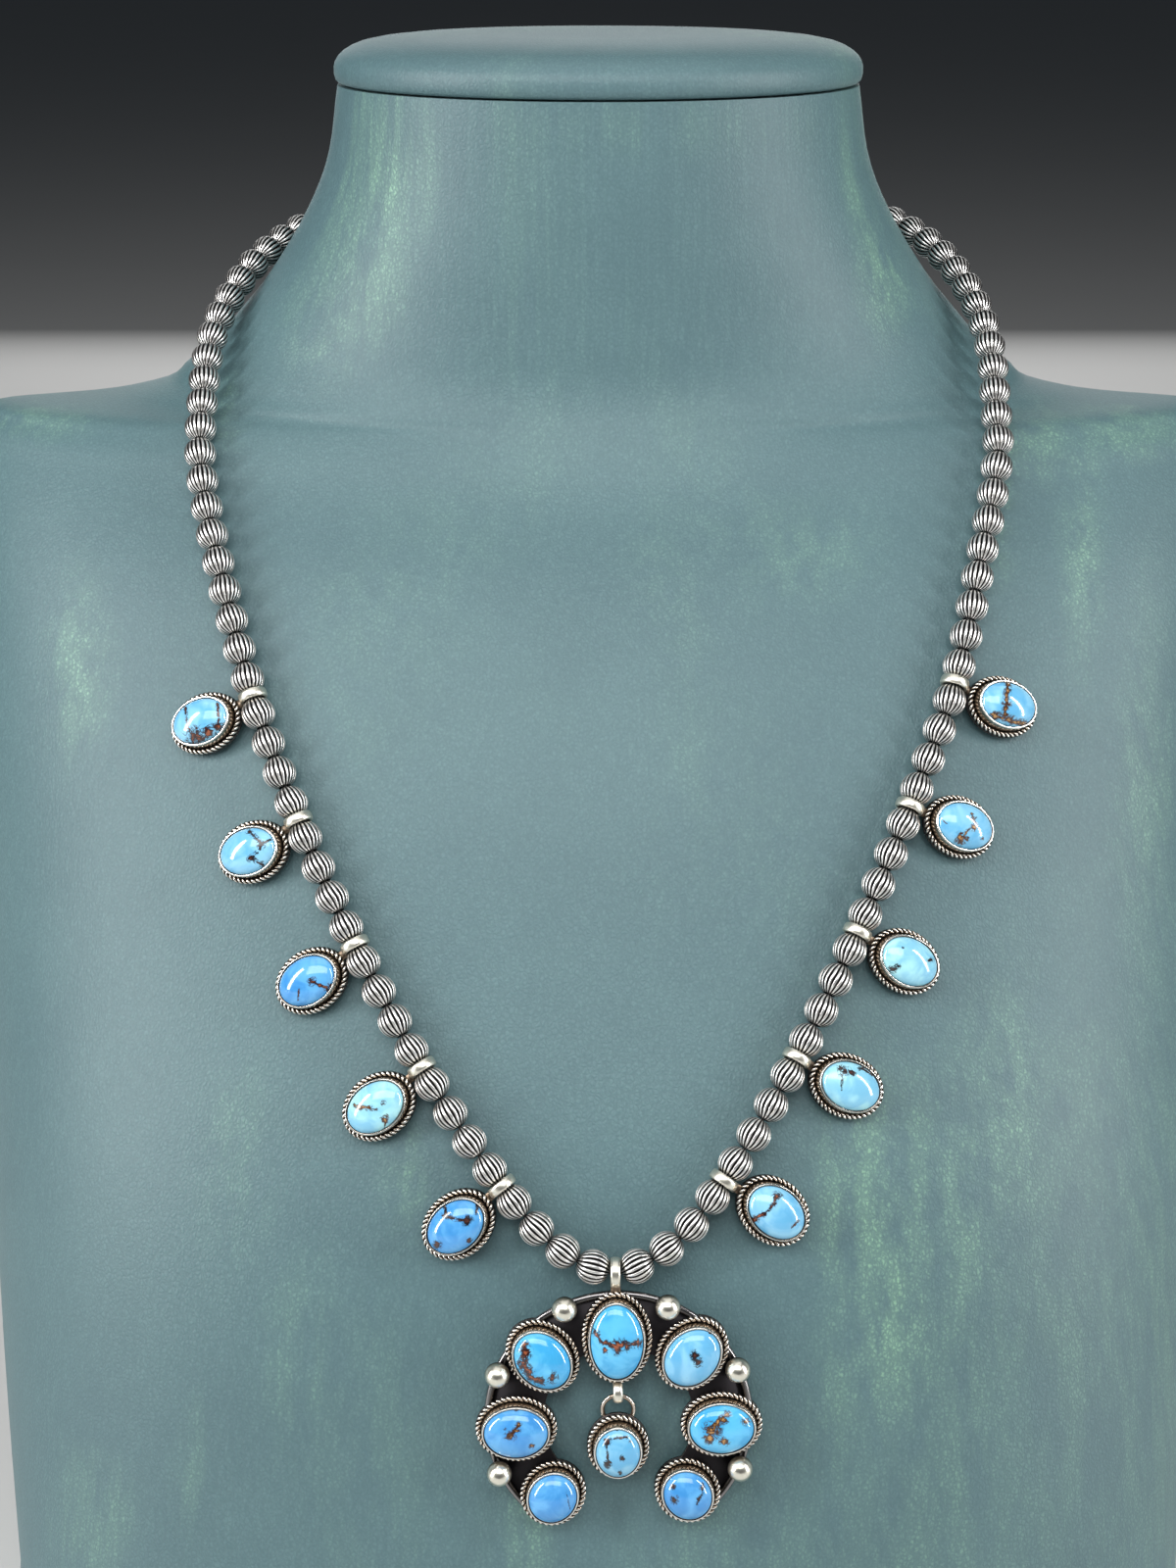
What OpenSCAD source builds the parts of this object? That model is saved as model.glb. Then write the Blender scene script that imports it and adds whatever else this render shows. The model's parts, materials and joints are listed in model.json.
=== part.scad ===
// Squash blossom necklace on a plain neck bust.
// Millimetres, +Z up, origin on the floor under the middle of the bust's base.
// The front of the bust faces -Y. Left and right are as the viewer sees them: right is +X.

/* [Neck bust] */
// Height of the bust, up to the seam under its cap
bust_height = 304; // [280:1:330]
// Width across the shoulders
shoulder_width = 246; // [230:1:270]
// Depth of the base, from front to back
base_depth = 150; // [135:1:165]
// Width of the neck
neck_width = 101; // [96:1:112]
// Depth of the neck
neck_depth = 84; // [76:1:92]
// How far the middle of the neck stands behind the middle of the base
neck_setback = 78; // [72:1:84]
// Thickness of the padded cap that closes the neck
cap_thickness = 9; // [5:0.5:12]
// How far the cap stands out past the neck
cap_overhang = 0.6; // [0.4:0.1:2]
// Seam between the neck and its cap
cap_seam = 0.3; // [0.2:0.05:0.6]

/* [String of beads] */
// Diameter of a bead
bead_d = 6; // [5.6:0.1:6.4]
// Length of a bead along the thread
bead_length = 5.4; // [5.1:0.1:5.5]
// Gap between the ends of two neighbouring beads
bead_gap = 0.5; // [0.4:0.05:0.7]
// Bore through a bead
bead_bore = 1.2; // [1:0.1:1.5]
// Diameter of the thread
thread_d = 0.7; // [0.5:0.05:0.9]
// Clearance between the beads and the bust that they lie on
rest_gap = 0.3; // [0.2:0.05:0.5]
// Beads between two drops
beads_between = 4; // [3:1:5]
// Shortest clasp that closes the string at the back of the neck
clasp_length = 8; // [7:0.5:16]
// Diameter of the clasp
clasp_d = 4.4; // [3.6:0.1:5]

/* [Bails] */
// Width of a bail, along the thread
bail_width = 1.7; // [1.4:0.1:2]
// Wall of a bail
bail_wall = 0.75; // [0.5:0.05:0.9]
// Clearance between a drop's bail and the shoulders of the beads beside it
bail_clearance = 0.35; // [0.2:0.05:0.5]
// Extra room that a drop's bail takes between two beads
bail_room = 1; // [0.8:0.1:1.4]
// Extra room that the pendant's bail takes between two beads
pendant_room = 2; // [1.8:0.1:2.4]

/* [Settings] */
// Thickness of the silver plate behind each stone
plate_thickness = 0.8; // [0.6:0.1:1]
// Height of the bezel above its plate
bezel_height = 2.8; // [2.4:0.1:3.2]
// Wall of the bezel
bezel_wall = 0.35; // [0.3:0.05:0.5]
// Groove between the bezel and the rope border
groove = 0.15; // [0.15:0.05:0.3]
// Width of the rope border
rope_width = 1; // [0.8:0.05:1.1]
// Height of a stone, from its flat back to the top of its dome
stone_height = 4.6; // [4:0.1:5.2]
// Clearance round and under a stone
stone_gap = 0.1; // [0.08:0.01:0.15]

/* [Side drops] */
// Length of a drop's stone, along the way it hangs
drop_stone_length = 10.9; // [10:0.1:12]
// Width of a drop's stone
drop_stone_width = 8; // [7.6:0.1:8.8]
// Clearance between a drop and the beads that it hangs from
drop_clearance = 0.1; // [0.05:0.05:0.4]

/* [Crescent pendant] */
// Outer diameter of the crescent plate
crescent_d = 45; // [44:0.5:46]
// Width of the crescent band
crescent_band = 9.6; // [9:0.1:11]
// Half of the opening at the foot of the crescent, in degrees
crescent_opening = 47; // [44:1:48]
// Thickness of the wire along the crescent's outer edge
edge_wire = 1.3; // [1.2:0.1:1.6]
// Distance from the bail's middle down to the middle of the crescent
crescent_drop = 26.3; // [26:0.1:27]
// Diameter of the silver balls
ball_d = 4.3; // [3.8:0.1:4.6]
// How far the crescent hangs askew, in degrees
crescent_turn = 1.3; // [0:0.1:2]
// Diameter of the wire of the loop and of the ring on it
link_wire = 0.8; // [0.7:0.05:0.9]
// Middle diameter of the loop under the top setting
loop_d = 3.2; // [3:0.1:3.4]
// Width of that loop along its own axis
loop_width = 1.7; // [1.3:0.1:1.9]
// Middle diameter of the small drop's ring
ring_d = 5.4; // [5:0.1:5.8]
// How far the ring reaches behind the small drop's setting
ring_overlap = 2.4; // [1.6:0.1:2.8]
// Clearance between the loop and the ring that hangs in it
link_clearance = 0.12; // [0.1:0.01:0.15]
// Length of the small drop's stone
dangle_stone_length = 9.2; // [8.6:0.1:9.6]
// Width of the small drop's stone
dangle_stone_width = 7.6; // [7.2:0.1:8]

/* [Hidden] */

// Form of the bust, one row for each level.
// height: share of the bust's height.  spread: half-width, 0 as the neck and 1 as the shoulders.
// front, side, back: place of the front, the widest line and the back, 0 as on the neck and
// 1 as at the base.  square: 2 is an ellipse, more is squarer.  fall: how steeply the level
// falls away behind its widest line.
// [height, spread, front, side, back, square, fall]
BUST_LEVELS = [
    [0,     0.86, 0.985, 1,    0.98, 2.5, 0],
    [0.012, 0.885, 1,    1,    1,    2.5, 0],
    [0.1,   0.9,  0.945, 0.95, 0.96, 2.5, 0],
    [0.25,  0.93, 0.87,  0.82, 0.84, 2.4, 0],
    [0.4,   0.96, 0.76,  0.62, 0.7,  2.3, 0],
    [0.53,  0.985, 0.567, 0.44, 0.54, 2.2, 0],
    [0.66,  1,    0.351, 0.31, 0.36, 2.2, 0.02],
    [0.73,  1,    0.203, 0.23, 0.24, 2.2, 0.09],
    [0.775, 0.995, 0.085, 0.15, 0.17, 2.1, 0.19],
    [0.795, 0.98, 0.05,  0.11, 0.14, 1.9, 0.24],
    [0.803, 0.92, 0.034, 0.09, 0.12, 1.8, 0.25],
    [0.807, 0.69, 0.026, 0.08, 0.11, 1.9, 0.25],
    [0.813, 0.53, 0.014, 0.07, 0.1,  2.1, 0.23],
    [0.826, 0.43, 0,     0.05, 0.05, 2.1, 0.18],
    [0.862, 0.27, 0,     0.01, 0.02, 2,   0.11],
    [0.904, 0.138, 0,    0,    0,    2,   0.06],
    [0.95,  0.04, 0,     0,    0,    2,   0.02],
    [1,     0,    0,     0,    0,    2,   0]];
// Rings of facets in each step of the table above, and facets round a ring
BUST_STEPS = [1, 2, 3, 3, 3, 3, 2, 3, 2, 1, 1, 1, 2, 3, 3, 2, 2];
BUST_SIDES = 48;

// Form of the cap, one row for each level.
// height: share of the cap's thickness.  inset: share of the cap's thickness by which the
// outline is smaller than the cap's widest.
// [height, inset]
CAP_LEVELS = [
    [0, 0.14], [0.14, 0.03], [0.34, 0], [0.56, 0.1], [0.76, 0.36], [0.9, 0.85], [0.975, 1.6], [1, 2.5]];

// Route of the string over each half of the bust, from the pendant's bail to the back of the neck.
// angle: degrees round the bust from its front.  height: percent of the bust's height.
// lift: how far the string bridges a hollow, in millimetres above where it would lie.
// [angle, height, lift]
ROUTE_LEFT = [
    [0.7,  38.7, 0.3], [0.4, 38.7, 0.3],   [-1.1, 39.3, 0.1], [-2.8, 40.25, 0], [-5.5, 42.5, 0],
    [-12,  48.2, 0],   [-18,  54.2, 0],   [-23.2, 60.4, 0],  [-27.8, 66.6, 0],
    [-32,  73.2, 0],   [-34,  76,  0.3],  [-37, 78.7, 0],    [-39.7, 80, 0],
    [-56,  81.4, 2.3], [-68,  83.8, 2.3], [-79, 86.1, 1],    [-90.5, 88, 0.2],
    [-108, 89.9, 0],   [-126, 91.6, 0],   [-145, 92.8, 0],   [-165, 93.7, 0],
    [-180, 94,   0]];
ROUTE_RIGHT = [
    [0.7,  38.7, 0.3], [1,   38.7, 0.3],   [2.9,  39.35, 0.1], [4.7,  40.4, 0],  [7.5,  42.8, 0],
    [13.7, 48.7, 0],   [19.2, 54.8, 0],   [24.1, 61.1, 0],   [28.7, 67.2, 0],
    [32.3, 73.6, 0],   [34.4, 76.5, 0.3], [38, 79.2, 0],     [41.6, 80.3, 0.2],
    [60.3, 82.3, 2.9], [71.3, 84.5, 2.7], [82,  86.5, 1.8],  [94,  88.4, 1.4],
    [108,  90,   1.2], [126,  91.6, 0.4], [145,  92.8, 0],   [165,  93.7, 0],
    [180,  94,   0]];
// Steps of the dense path between two points of the route
ROUTE_STEPS = 7;

// How far each drop turns from square to the string towards straight down, in degrees,
// from the top drop to the lowest
DROPS_PER_SIDE = 5;
HANG_LEFT = [6, 8, 10, 9, 3];
HANG_RIGHT = [3, -4, 4, -1, -4];
// How far each setting turns on its drop, in degrees, anticlockwise as seen from the front
TURN_LEFT = [-12, -16, -9, -7, -2];
TURN_RIGHT = [13, 4, 4, 6, -6];

// Settings of the crescent pendant, from its middle line, in shares of the crescent's diameter.
// across, down: place below the bail's middle.  length, width: of the stone.
// turn: degrees by which the stone's length leans outwards from upright.
// [across, down, length, width, turn]
NAJA_SHARES = [
    [0,     0.252, 0.296, 0.2,   0],
    [0.284, 0.321, 0.242, 0.194, 38],
    [0.392, 0.61,  0.244, 0.194, 90],
    [0.258, 0.877, 0.198, 0.18,  150]];
// Silver balls on the edge of the crescent: degrees round it from the top
BALL_ANGLES = [23, 66, 113];

// Form of a cabochon: share of its height in the straight girdle, and the angles up its dome
// at which its rings of facets lie
GIRDLE_SHARE = 0.48;
DOME_ANGLES = [0, 22, 44, 65, 84];
OVAL_SIDES = 36;
ROUND = 48;
THREAD_SIDES = 6;

bead_r = bead_d / 2;
bead_pitch = bead_length + bead_gap;
stand_off = bead_r + rest_gap;
neck_back = neck_setback + neck_depth / 2;
neck_front = neck_setback - neck_depth / 2;
setting_rim = stone_gap + bezel_wall + groove + rope_width;
sheet_inset = plate_thickness / 10;

// A drop's bail reaches a little way over the shoulders of the beads beside it
bead_shoulder = sqrt(pow(bead_r, 2) - pow((bead_pitch + bail_room - bail_width) / 2, 2));
bail_bore = bead_shoulder + bail_clearance;
bail_radius = bail_bore + bail_wall;

// Smooth value of a table's column: a cubic through every row, with an even slope at each
function slope_at(t, i, c) =
    let (last = len(t) - 1, a = max(i - 1, 0), b = min(i + 1, last))
    i == 0 || i == last
        ? (t[b][c] - t[a][c]) / (t[b][0] - t[a][0])
        : let (h0 = t[i][0] - t[a][0], h1 = t[b][0] - t[i][0])
          (h1 * (t[i][c] - t[a][c]) / h0 + h0 * (t[b][c] - t[i][c]) / h1) / (h0 + h1);
function with_slopes(t) = [for (i = [0:len(t) - 1]) [for (c = [1:len(t[0]) - 1]) slope_at(t, i, c)]];
function row_below(t, v, i = 0) = i >= len(t) - 2 || t[i + 1][0] > v ? i : row_below(t, v, i + 1);
function smooth_row(t, slopes, v) =
    let (i = row_below(t, v), h = t[i + 1][0] - t[i][0], u = (v - t[i][0]) / h)
    [for (c = [1:len(t[0]) - 1])
        (2 * pow(u, 3) - 3 * pow(u, 2) + 1) * t[i][c]
        + (pow(u, 3) - 2 * pow(u, 2) + u) * h * slopes[i][c - 1]
        + (3 * pow(u, 2) - 2 * pow(u, 3)) * t[i + 1][c]
        + (pow(u, 3) - pow(u, 2)) * h * slopes[i + 1][c - 1]];

function mix(a, b, share) = a + (b - a) * share;
function power(v, e) = v <= 0 ? 0 : pow(v, e);
function unit(v) = v / norm(v);

// The bust's outline at a height: half-width, front, widest line, back, squareness, fall
BUST_SLOPES = with_slopes(BUST_LEVELS);
function level(height) =
    let (r = smooth_row(BUST_LEVELS, BUST_SLOPES, height / bust_height))
    [mix(neck_width, shoulder_width, r[0]) / 2,
     mix(neck_front, -base_depth / 2, r[1]),
     mix(neck_setback, 0, r[2]),
     mix(neck_back, base_depth / 2, r[3]),
     r[4],
     r[5]];
// A point of an outline, by the angle round it from the front
function on_outline(o, angle, height) =
    let (s = sin(angle), c = cos(angle), e = 2 / o[4],
         y = c >= 0 ? mix(o[2], o[1], power(c, e)) : mix(o[2], o[3], power(-c, e)))
    [sign(s) * o[0] * power(abs(s), e), y, height - o[5] * max(0, y - o[2])];
function skin(angle, height) = on_outline(level(height), angle, height);
function skin_normal(angle, height) =
    unit(cross(skin(angle + 1, height) - skin(angle - 1, height),
               skin(angle, height + 1) - skin(angle, height - 1)));
// Depth of the chest behind a point, along Y
function chest_y(x, z) =
    let (o = level(z)) mix(o[2], o[1], power(1 - pow(abs(x) / o[0], o[4]), 1 / o[4]));

// Dense path of the string: rows of [length from the bail, x, y, z, angle, height]
function string_point(angle, height, lift) =
    skin(angle, height) + (stand_off + lift) * skin_normal(angle, height);
function route_point(r) = string_point(r[0], r[1] / 100 * bust_height, r[2]);
function running(v, i = 0, sum = 0) =
    i > len(v) - 1 ? [] : concat([sum + v[i]], running(v, i + 1, sum + v[i]));
function measured(rows) =
    let (d = running([for (i = [0:len(rows) - 1]) i == 0 ? 0
        : norm([for (c = [0:2]) rows[i][c] - rows[i - 1][c]])]))
    [for (i = [0:len(rows) - 1]) concat(d[i], rows[i])];
function knotted(route) =
    measured([for (r = route) concat(route_point(r), [r[0], r[1] / 100 * bust_height])]);
function dense(route) =
    let (t = knotted(route), slopes = with_slopes(t), last = len(t) - 1,
         rows = [for (i = [0:last - 1]) for (k = [0:ROUTE_STEPS - 1])
             smooth_row(t, slopes, mix(t[i][0], t[i + 1][0], k / ROUTE_STEPS))])
    measured(concat(rows, [[for (c = [1:5]) t[last][c]]]));
PATHS = [dense(ROUTE_LEFT), dense(ROUTE_RIGHT)];
function path_length(side) = PATHS[side][len(PATHS[side]) - 1][0];
// Column tables of each path, for the built-in lookup
COLUMNS = [for (p = PATHS) [for (c = [1:5]) [for (r = p) [r[0], r[c]]]]];
function at(side, s, c) = lookup(s, COLUMNS[side][c]);
// A point of the string: distances below zero run up the other side
function along(side, s) =
    s >= 0 ? [at(side, s, 0), at(side, s, 1), at(side, s, 2)] : along(1 - side, -s);
function string_normal(side, s) = skin_normal(at(side, s, 3), at(side, s, 4));
LEFT = 0;
RIGHT = 1;

// Distance along the string from the pendant's bail to the middle of bead k, counted from 1
function bails_before(k) = min(DROPS_PER_SIDE, floor((k - 1) / beads_between));
function bead_place(k) = (bead_pitch + pendant_room) / 2 + (k - 1) * bead_pitch + bails_before(k) * bail_room;
function bead_count(side) =
    floor((path_length(side) - clasp_length / 2 - bead_gap - bead_length / 2
           - bead_place(1) - DROPS_PER_SIDE * bail_room) / bead_pitch) + 1;
// Distance along the string to the bail of drop j, counted from the top one
function bail_place(j) =
    let (k = (DROPS_PER_SIDE + 1 - j) * beads_between) (bead_place(k) + bead_place(k + 1)) / 2;
// Where the thread leaves the last bead on a side
function string_end(side) = bead_place(bead_count(side)) + bead_pitch / 2;

// A frame whose X is across, Y up along the hang and Z away from the bust
function frame(origin, up, out) =
    let (across = cross(up, out))
    [[across.x, up.x, out.x, origin.x], [across.y, up.y, out.y, origin.y], [across.z, up.z, out.z, origin.z],
     [0, 0, 0, 1]];
function in_frame(m, p) = let (q = m * [p.x, p.y, p.z, 1]) [q.x, q.y, q.z];

// Lean towards the bust at which a point of a hanging piece's back comes to rest on the chest.
// p is [across, down] from the bail and deep is how far the back lies below the bail's middle.
function lean(origin, down, out, deep, p) =
    let (across = cross(out, down),
         foot = origin - stand_off * out,
         q = foot + p[0] * across + p[1] * down,
         fall = (chest_y(q.x, q.z) - q.y) * -out.y)
    asin(min(0.6, (stand_off + fall - rest_gap - deep) / p[1]));
function hung_frame(origin, down, out, deep, points) =
    let (a = min([for (p = points) lean(origin, down, out, deep, p)]))
    frame(origin, -(cos(a) * down - sin(a) * out), cos(a) * out + sin(a) * down);

// Side drops
drop_half_length = drop_stone_length / 2 + setting_rim;
drop_reach = drop_half_length + bead_r + drop_clearance;
function hang(side, j) = side == LEFT ? HANG_LEFT[j - 1] : HANG_RIGHT[j - 1];
function turn_of(side, j) = side == LEFT ? TURN_LEFT[j - 1] : TURN_RIGHT[j - 1];
function drop_frame(side, j) =
    let (s = bail_place(j),
         origin = along(side, s),
         tangent = unit(along(side, s + bead_r) - along(side, s - bead_r)),
         skin_out = string_normal(side, s),
         out = unit(skin_out - (skin_out * tangent) * tangent),
         outward = (side == LEFT ? -1 : 1) * cross(tangent, out),
         a = hang(side, j),
         down = cos(a) * outward - sin(a) * tangent)
    hung_frame(origin, down, out, plate_thickness, [[0, drop_reach + drop_half_length]]);

// Crescent pendant
bail_middle = along(RIGHT, 0);
pendant_skin = string_normal(RIGHT, 0);
pendant_out = unit([0, pendant_skin.y, pendant_skin.z]);
pendant_down = cross([1, 0, 0], pendant_out);
naja_deep = plate_thickness / 2;
function naja_row(r) = concat([for (i = [0:3]) r[i] * crescent_d], [r[4]]);
function mirrored(r) = [-r[0], r[1], r[2], r[3], -r[4]];
NAJA_TOP = naja_row(NAJA_SHARES[0]);
NAJA_SIDES = [for (i = [1:3]) for (r = [naja_row(NAJA_SHARES[i])]) each [mirrored(r), r]];
NAJA_ROWS = concat([NAJA_TOP], NAJA_SIDES);
function turned(p) = [
    p.x * cos(crescent_turn) + p.y * sin(crescent_turn),
    p.y * cos(crescent_turn) - p.x * sin(crescent_turn)];
naja_rests = [
    for (r = NAJA_SIDES) for (k = [0, 1]) turned([r[0], r[1] + k * (r[3] / 2 + setting_rim)])];
naja_frame = hung_frame(bail_middle, pendant_down, pendant_out, naja_deep, naja_rests);
crescent_frame = naja_frame * [
    [cos(crescent_turn), -sin(crescent_turn), 0, 0],
    [sin(crescent_turn), cos(crescent_turn), 0, 0],
    [0, 0, 1, -naja_deep],
    [0, 0, 0, 1]];

// Small drop in the pendant's opening: its ring hangs in the loop
loop_down = NAJA_TOP[1] + NAJA_TOP[2] / 2 + setting_rim + loop_d / 2 - link_wire / 4;
loop_height = plate_thickness + link_wire;
pivot_down = loop_down + loop_d / 2 - link_wire - link_clearance;
dangle_half_length = dangle_stone_length / 2 + setting_rim;
dangle_down = ring_d + dangle_half_length - ring_overlap;
pivot = in_frame(crescent_frame, [0, -pivot_down, loop_height]);
naja_up = [naja_frame[0][1], naja_frame[1][1], naja_frame[2][1]];
naja_out = [naja_frame[0][2], naja_frame[1][2], naja_frame[2][2]];
// The pivot's own height over the chest takes the place of the beads' stand-off
pivot_height = (chest_y(pivot.x, pivot.z) - pivot.y) * -naja_out.y;
dangle_foot = dangle_down + dangle_half_length;
dangle_end = pivot - dangle_foot * naja_up;
dangle_room = (chest_y(dangle_end.x, dangle_end.z) - dangle_end.y) * -naja_out.y;
dangle_lean = asin(min(0.4, (dangle_room - rest_gap) / dangle_foot));
dangle_frame = frame(pivot, cos(dangle_lean) * naja_up + sin(dangle_lean) * naja_out,
                     cos(dangle_lean) * naja_out - sin(dangle_lean) * naja_up);

// Closed skin over rings of points, flat at both ends
module lofted(rings) {
    n = len(rings[0]);
    m = len(rings);
    polyhedron(
        points = [for (r = rings) each r],
        faces = concat(
            [[for (i = [0:n - 1]) i]],
            [for (k = [0:m - 2]) for (i = [0:n - 1]) let (j = (i + 1) % n)
                each [[k * n + i, (k + 1) * n + i, (k + 1) * n + j], [k * n + i, (k + 1) * n + j, k * n + j]]],
            [[for (i = [n - 1:-1:0]) (m - 1) * n + i]]),
        convexity = 6);
}

function bust_ring(height) =
    let (o = level(height)) [for (i = [0:BUST_SIDES - 1]) on_outline(o, i * 360 / BUST_SIDES, height)];

module bust_body() {
    last = len(BUST_LEVELS) - 1;
    heights = concat(
        [for (i = [0:last - 1]) for (k = [0:BUST_STEPS[i] - 1])
            bust_height * mix(BUST_LEVELS[i][0], BUST_LEVELS[i + 1][0], k / BUST_STEPS[i])],
        [bust_height]);
    color("cadetblue") lofted([for (h = heights) bust_ring(h)]);
}

module neck_cap() {
    bottom = bust_height + cap_seam;
    o = level(bust_height);
    color("cadetblue")
        lofted([for (r = CAP_LEVELS)
            let (grow = cap_overhang - r[1] * cap_thickness,
                 w = [o[0] + grow, o[1] - grow, o[2], o[3] + grow, o[4], 0])
            [for (i = [0:BUST_SIDES - 1]) on_outline(w, i * 360 / BUST_SIDES, bottom + r[0] * cap_thickness)]]);
}

// Turns a piece's Z to a direction and moves it to a place
module aim(place, direction) {
    d = unit(direction);
    translate(place) rotate([0, acos(d.z), atan2(d.y, d.x)]) children();
}

module bead() {
    rotate_extrude($fn = ROUND)
        difference() {
            intersection() {
                circle(r = bead_r, $fn = ROUND);
                translate([0, -bead_length / 2]) square([bead_d, bead_length]);
            }
            translate([-bead_bore / 2, -bead_d / 2]) square([bead_bore, bead_d]);
        }
}

module beads(side) {
    color("silver")
        for (k = [1:bead_count(side)]) {
            a = along(side, bead_place(k) - bead_pitch / 2);
            b = along(side, bead_place(k) + bead_pitch / 2);
            aim((a + b) / 2, b - a) bead();
        }
}

// The thread bends only between beads, so that it runs true through each bore
module thread() {
    function joints(side) = [for (k = [1:bead_count(side)]) along(side, bead_place(k) - bead_pitch / 2)];
    function end_of(side) = along(side, string_end(side) + bead_gap / 2);
    function turned(v) = [for (i = [len(v) - 1:-1:0]) v[i]];
    loop = concat(turned(joints(LEFT)), joints(RIGHT), [end_of(RIGHT), end_of(LEFT)]);
    n = len(loop);
    rings = [for (i = [0:n - 1])
        let (before = loop[(i + n - 1) % n], after = loop[(i + 1) % n],
             t = unit(unit(loop[i] - before) + unit(after - loop[i])),
             across = unit(cross(t, abs(t.z) > 0.95 ? [0, 1, 0] : [0, 0, 1])),
             up = cross(across, t))
        [for (k = [0:THREAD_SIDES - 1])
            let (a = k * 360 / THREAD_SIDES) loop[i] + thread_d / 2 * (cos(a) * across + sin(a) * up)]];
    color("dimgray")
        polyhedron(
            points = [for (r = rings) each r],
            faces = [for (i = [0:n - 1]) for (k = [0:THREAD_SIDES - 1])
                let (j = (i + 1) % n, l = (k + 1) % THREAD_SIDES, s = THREAD_SIDES)
                each [[i * s + k, j * s + k, j * s + l], [i * s + k, j * s + l, i * s + l]]],
            convexity = 10);
}

module clasp() {
    a = along(LEFT, string_end(LEFT));
    b = along(RIGHT, string_end(RIGHT));
    length = norm(b - a) - bead_gap;
    color("silver")
        aim((a + b) / 2, b - a)
            difference() {
                cylinder(d = clasp_d, h = length, center = true, $fn = ROUND);
                cylinder(d = bead_bore, h = length + 1, center = true, $fn = ROUND);
            }
}

function oval_points(length, width) =
    [for (i = [0:OVAL_SIDES - 1])
        let (a = -i * 360 / OVAL_SIDES) [width / 2 * sin(a), length / 2 * cos(a)]];
module oval(length, width) {
    polygon(oval_points(length, width));
}

module oval_band(length, width, inner, outer, height) {
    linear_extrude(height)
        difference() {
            oval(length + 2 * outer, width + 2 * outer);
            oval(length + 2 * inner, width + 2 * inner);
        }
}

// Plate, bezel and rope border for a stone, with the flat back on Z = 0
module setting(length, width) {
    bezel_in = stone_gap;
    bezel_out = bezel_in + bezel_wall;
    rope_in = bezel_out + groove;
    rope_out = rope_in + rope_width;
    bevel = rope_width / 5;
    linear_extrude(plate_thickness) oval(length + 2 * rope_out, width + 2 * rope_out);
    oval_band(length, width, bezel_in, bezel_out, plate_thickness + bezel_height);
    oval_band(length, width, rope_in, rope_out, plate_thickness + rope_width - bevel);
    oval_band(length, width, rope_in + bevel, rope_out - bevel, plate_thickness + rope_width);
}

// Cabochon: a short straight girdle under a dome that ends in a tiny flat
module cabochon(length, width) {
    girdle = stone_height * GIRDLE_SHARE;
    rises = concat([[1, 0]], [for (a = DOME_ANGLES) [cos(a), girdle + (stone_height - girdle) * sin(a)]]);
    translate([0, 0, plate_thickness + stone_gap])
        lofted([for (r = rises) [for (p = oval_points(length * r[0], width * r[0])) [p.x, p.y, r[1]]]]);
}

module bail() {
    rotate([0, 90, 0])
        difference() {
            cylinder(r = bail_radius, h = bail_width, center = true, $fn = ROUND);
            cylinder(r = bail_bore, h = bail_width + 1, center = true, $fn = ROUND);
        }
}

// Tab that joins a bail to the plate below it
module bail_tab(back, reach, thickness) {
    top = (bail_bore + bail_radius) / 2;
    translate([-bail_width / 2, -reach, back]) cube([bail_width, reach - top, thickness]);
}

module drop(side, j) {
    color("silver")
        multmatrix(drop_frame(side, j))
            union() {
                rotate([0, 0, (side == LEFT ? -1 : 1) * hang(side, j)]) bail();
                bail_tab(-plate_thickness, bead_r + drop_clearance + rope_width, plate_thickness);
                translate([0, -drop_reach, -plate_thickness])
                    rotate([0, 0, turn_of(side, j)]) setting(drop_stone_length, drop_stone_width);
            }
}

module drop_stone(side, j) {
    color("deepskyblue")
        multmatrix(drop_frame(side, j))
            translate([0, -drop_reach, -plate_thickness])
                rotate([0, 0, turn_of(side, j)]) cabochon(drop_stone_length, drop_stone_width);
}

module at_row(row) {
    translate([row[0], -row[1], 0]) rotate([0, 0, -row[4]]) children();
}

// The sheet lies a little inside the settings' plates. Sheet and wire stop inside the bezels.
module crescent() {
    r = crescent_d / 2;
    difference() {
        translate([0, -crescent_drop, 0])
            rotate([0, 0, crescent_opening - 90]) {
                rotate_extrude(angle = 360 - 2 * crescent_opening, $fn = 2 * ROUND)
                    translate([r - crescent_band, sheet_inset])
                        square([crescent_band, plate_thickness - 2 * sheet_inset]);
                rotate_extrude(angle = 360 - 2 * crescent_opening, $fn = 2 * ROUND)
                    translate([r, edge_wire / 2]) circle(d = edge_wire, $fn = ROUND);
            }
        for (row = NAJA_ROWS)
            at_row(row)
                translate([0, 0, plate_thickness / 2])
                    linear_extrude(stone_height)
                        oval(row[2] + 2 * stone_gap + bezel_wall, row[3] + 2 * stone_gap + bezel_wall);
    }
}

module naja() {
    r = crescent_d / 2;
    color("silver")
        union() {
            multmatrix(naja_frame) bail();
            multmatrix(crescent_frame) {
                bail_tab(sheet_inset, NAJA_TOP[1] - NAJA_TOP[2] / 2, naja_deep + plate_thickness);
                crescent();
                for (a = BALL_ANGLES) for (side = [-1, 1])
                    translate([side * r * sin(a), r * cos(a) - crescent_drop, edge_wire + ball_d * 0.3])
                        sphere(d = ball_d, $fn = ROUND);
                translate([0, -loop_down, loop_height])
                    rotate([0, 90, 0])
                        rotate_extrude($fn = ROUND)
                            translate([loop_d / 2, 0]) scale([1, loop_width / link_wire]) circle(d = link_wire, $fn = 24);
                for (row = NAJA_ROWS) at_row(row) setting(row[2], row[3]);
            }
        }
}

module naja_stone(row) {
    color("deepskyblue") multmatrix(crescent_frame) at_row(row) cabochon(row[2], row[3]);
}

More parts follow.
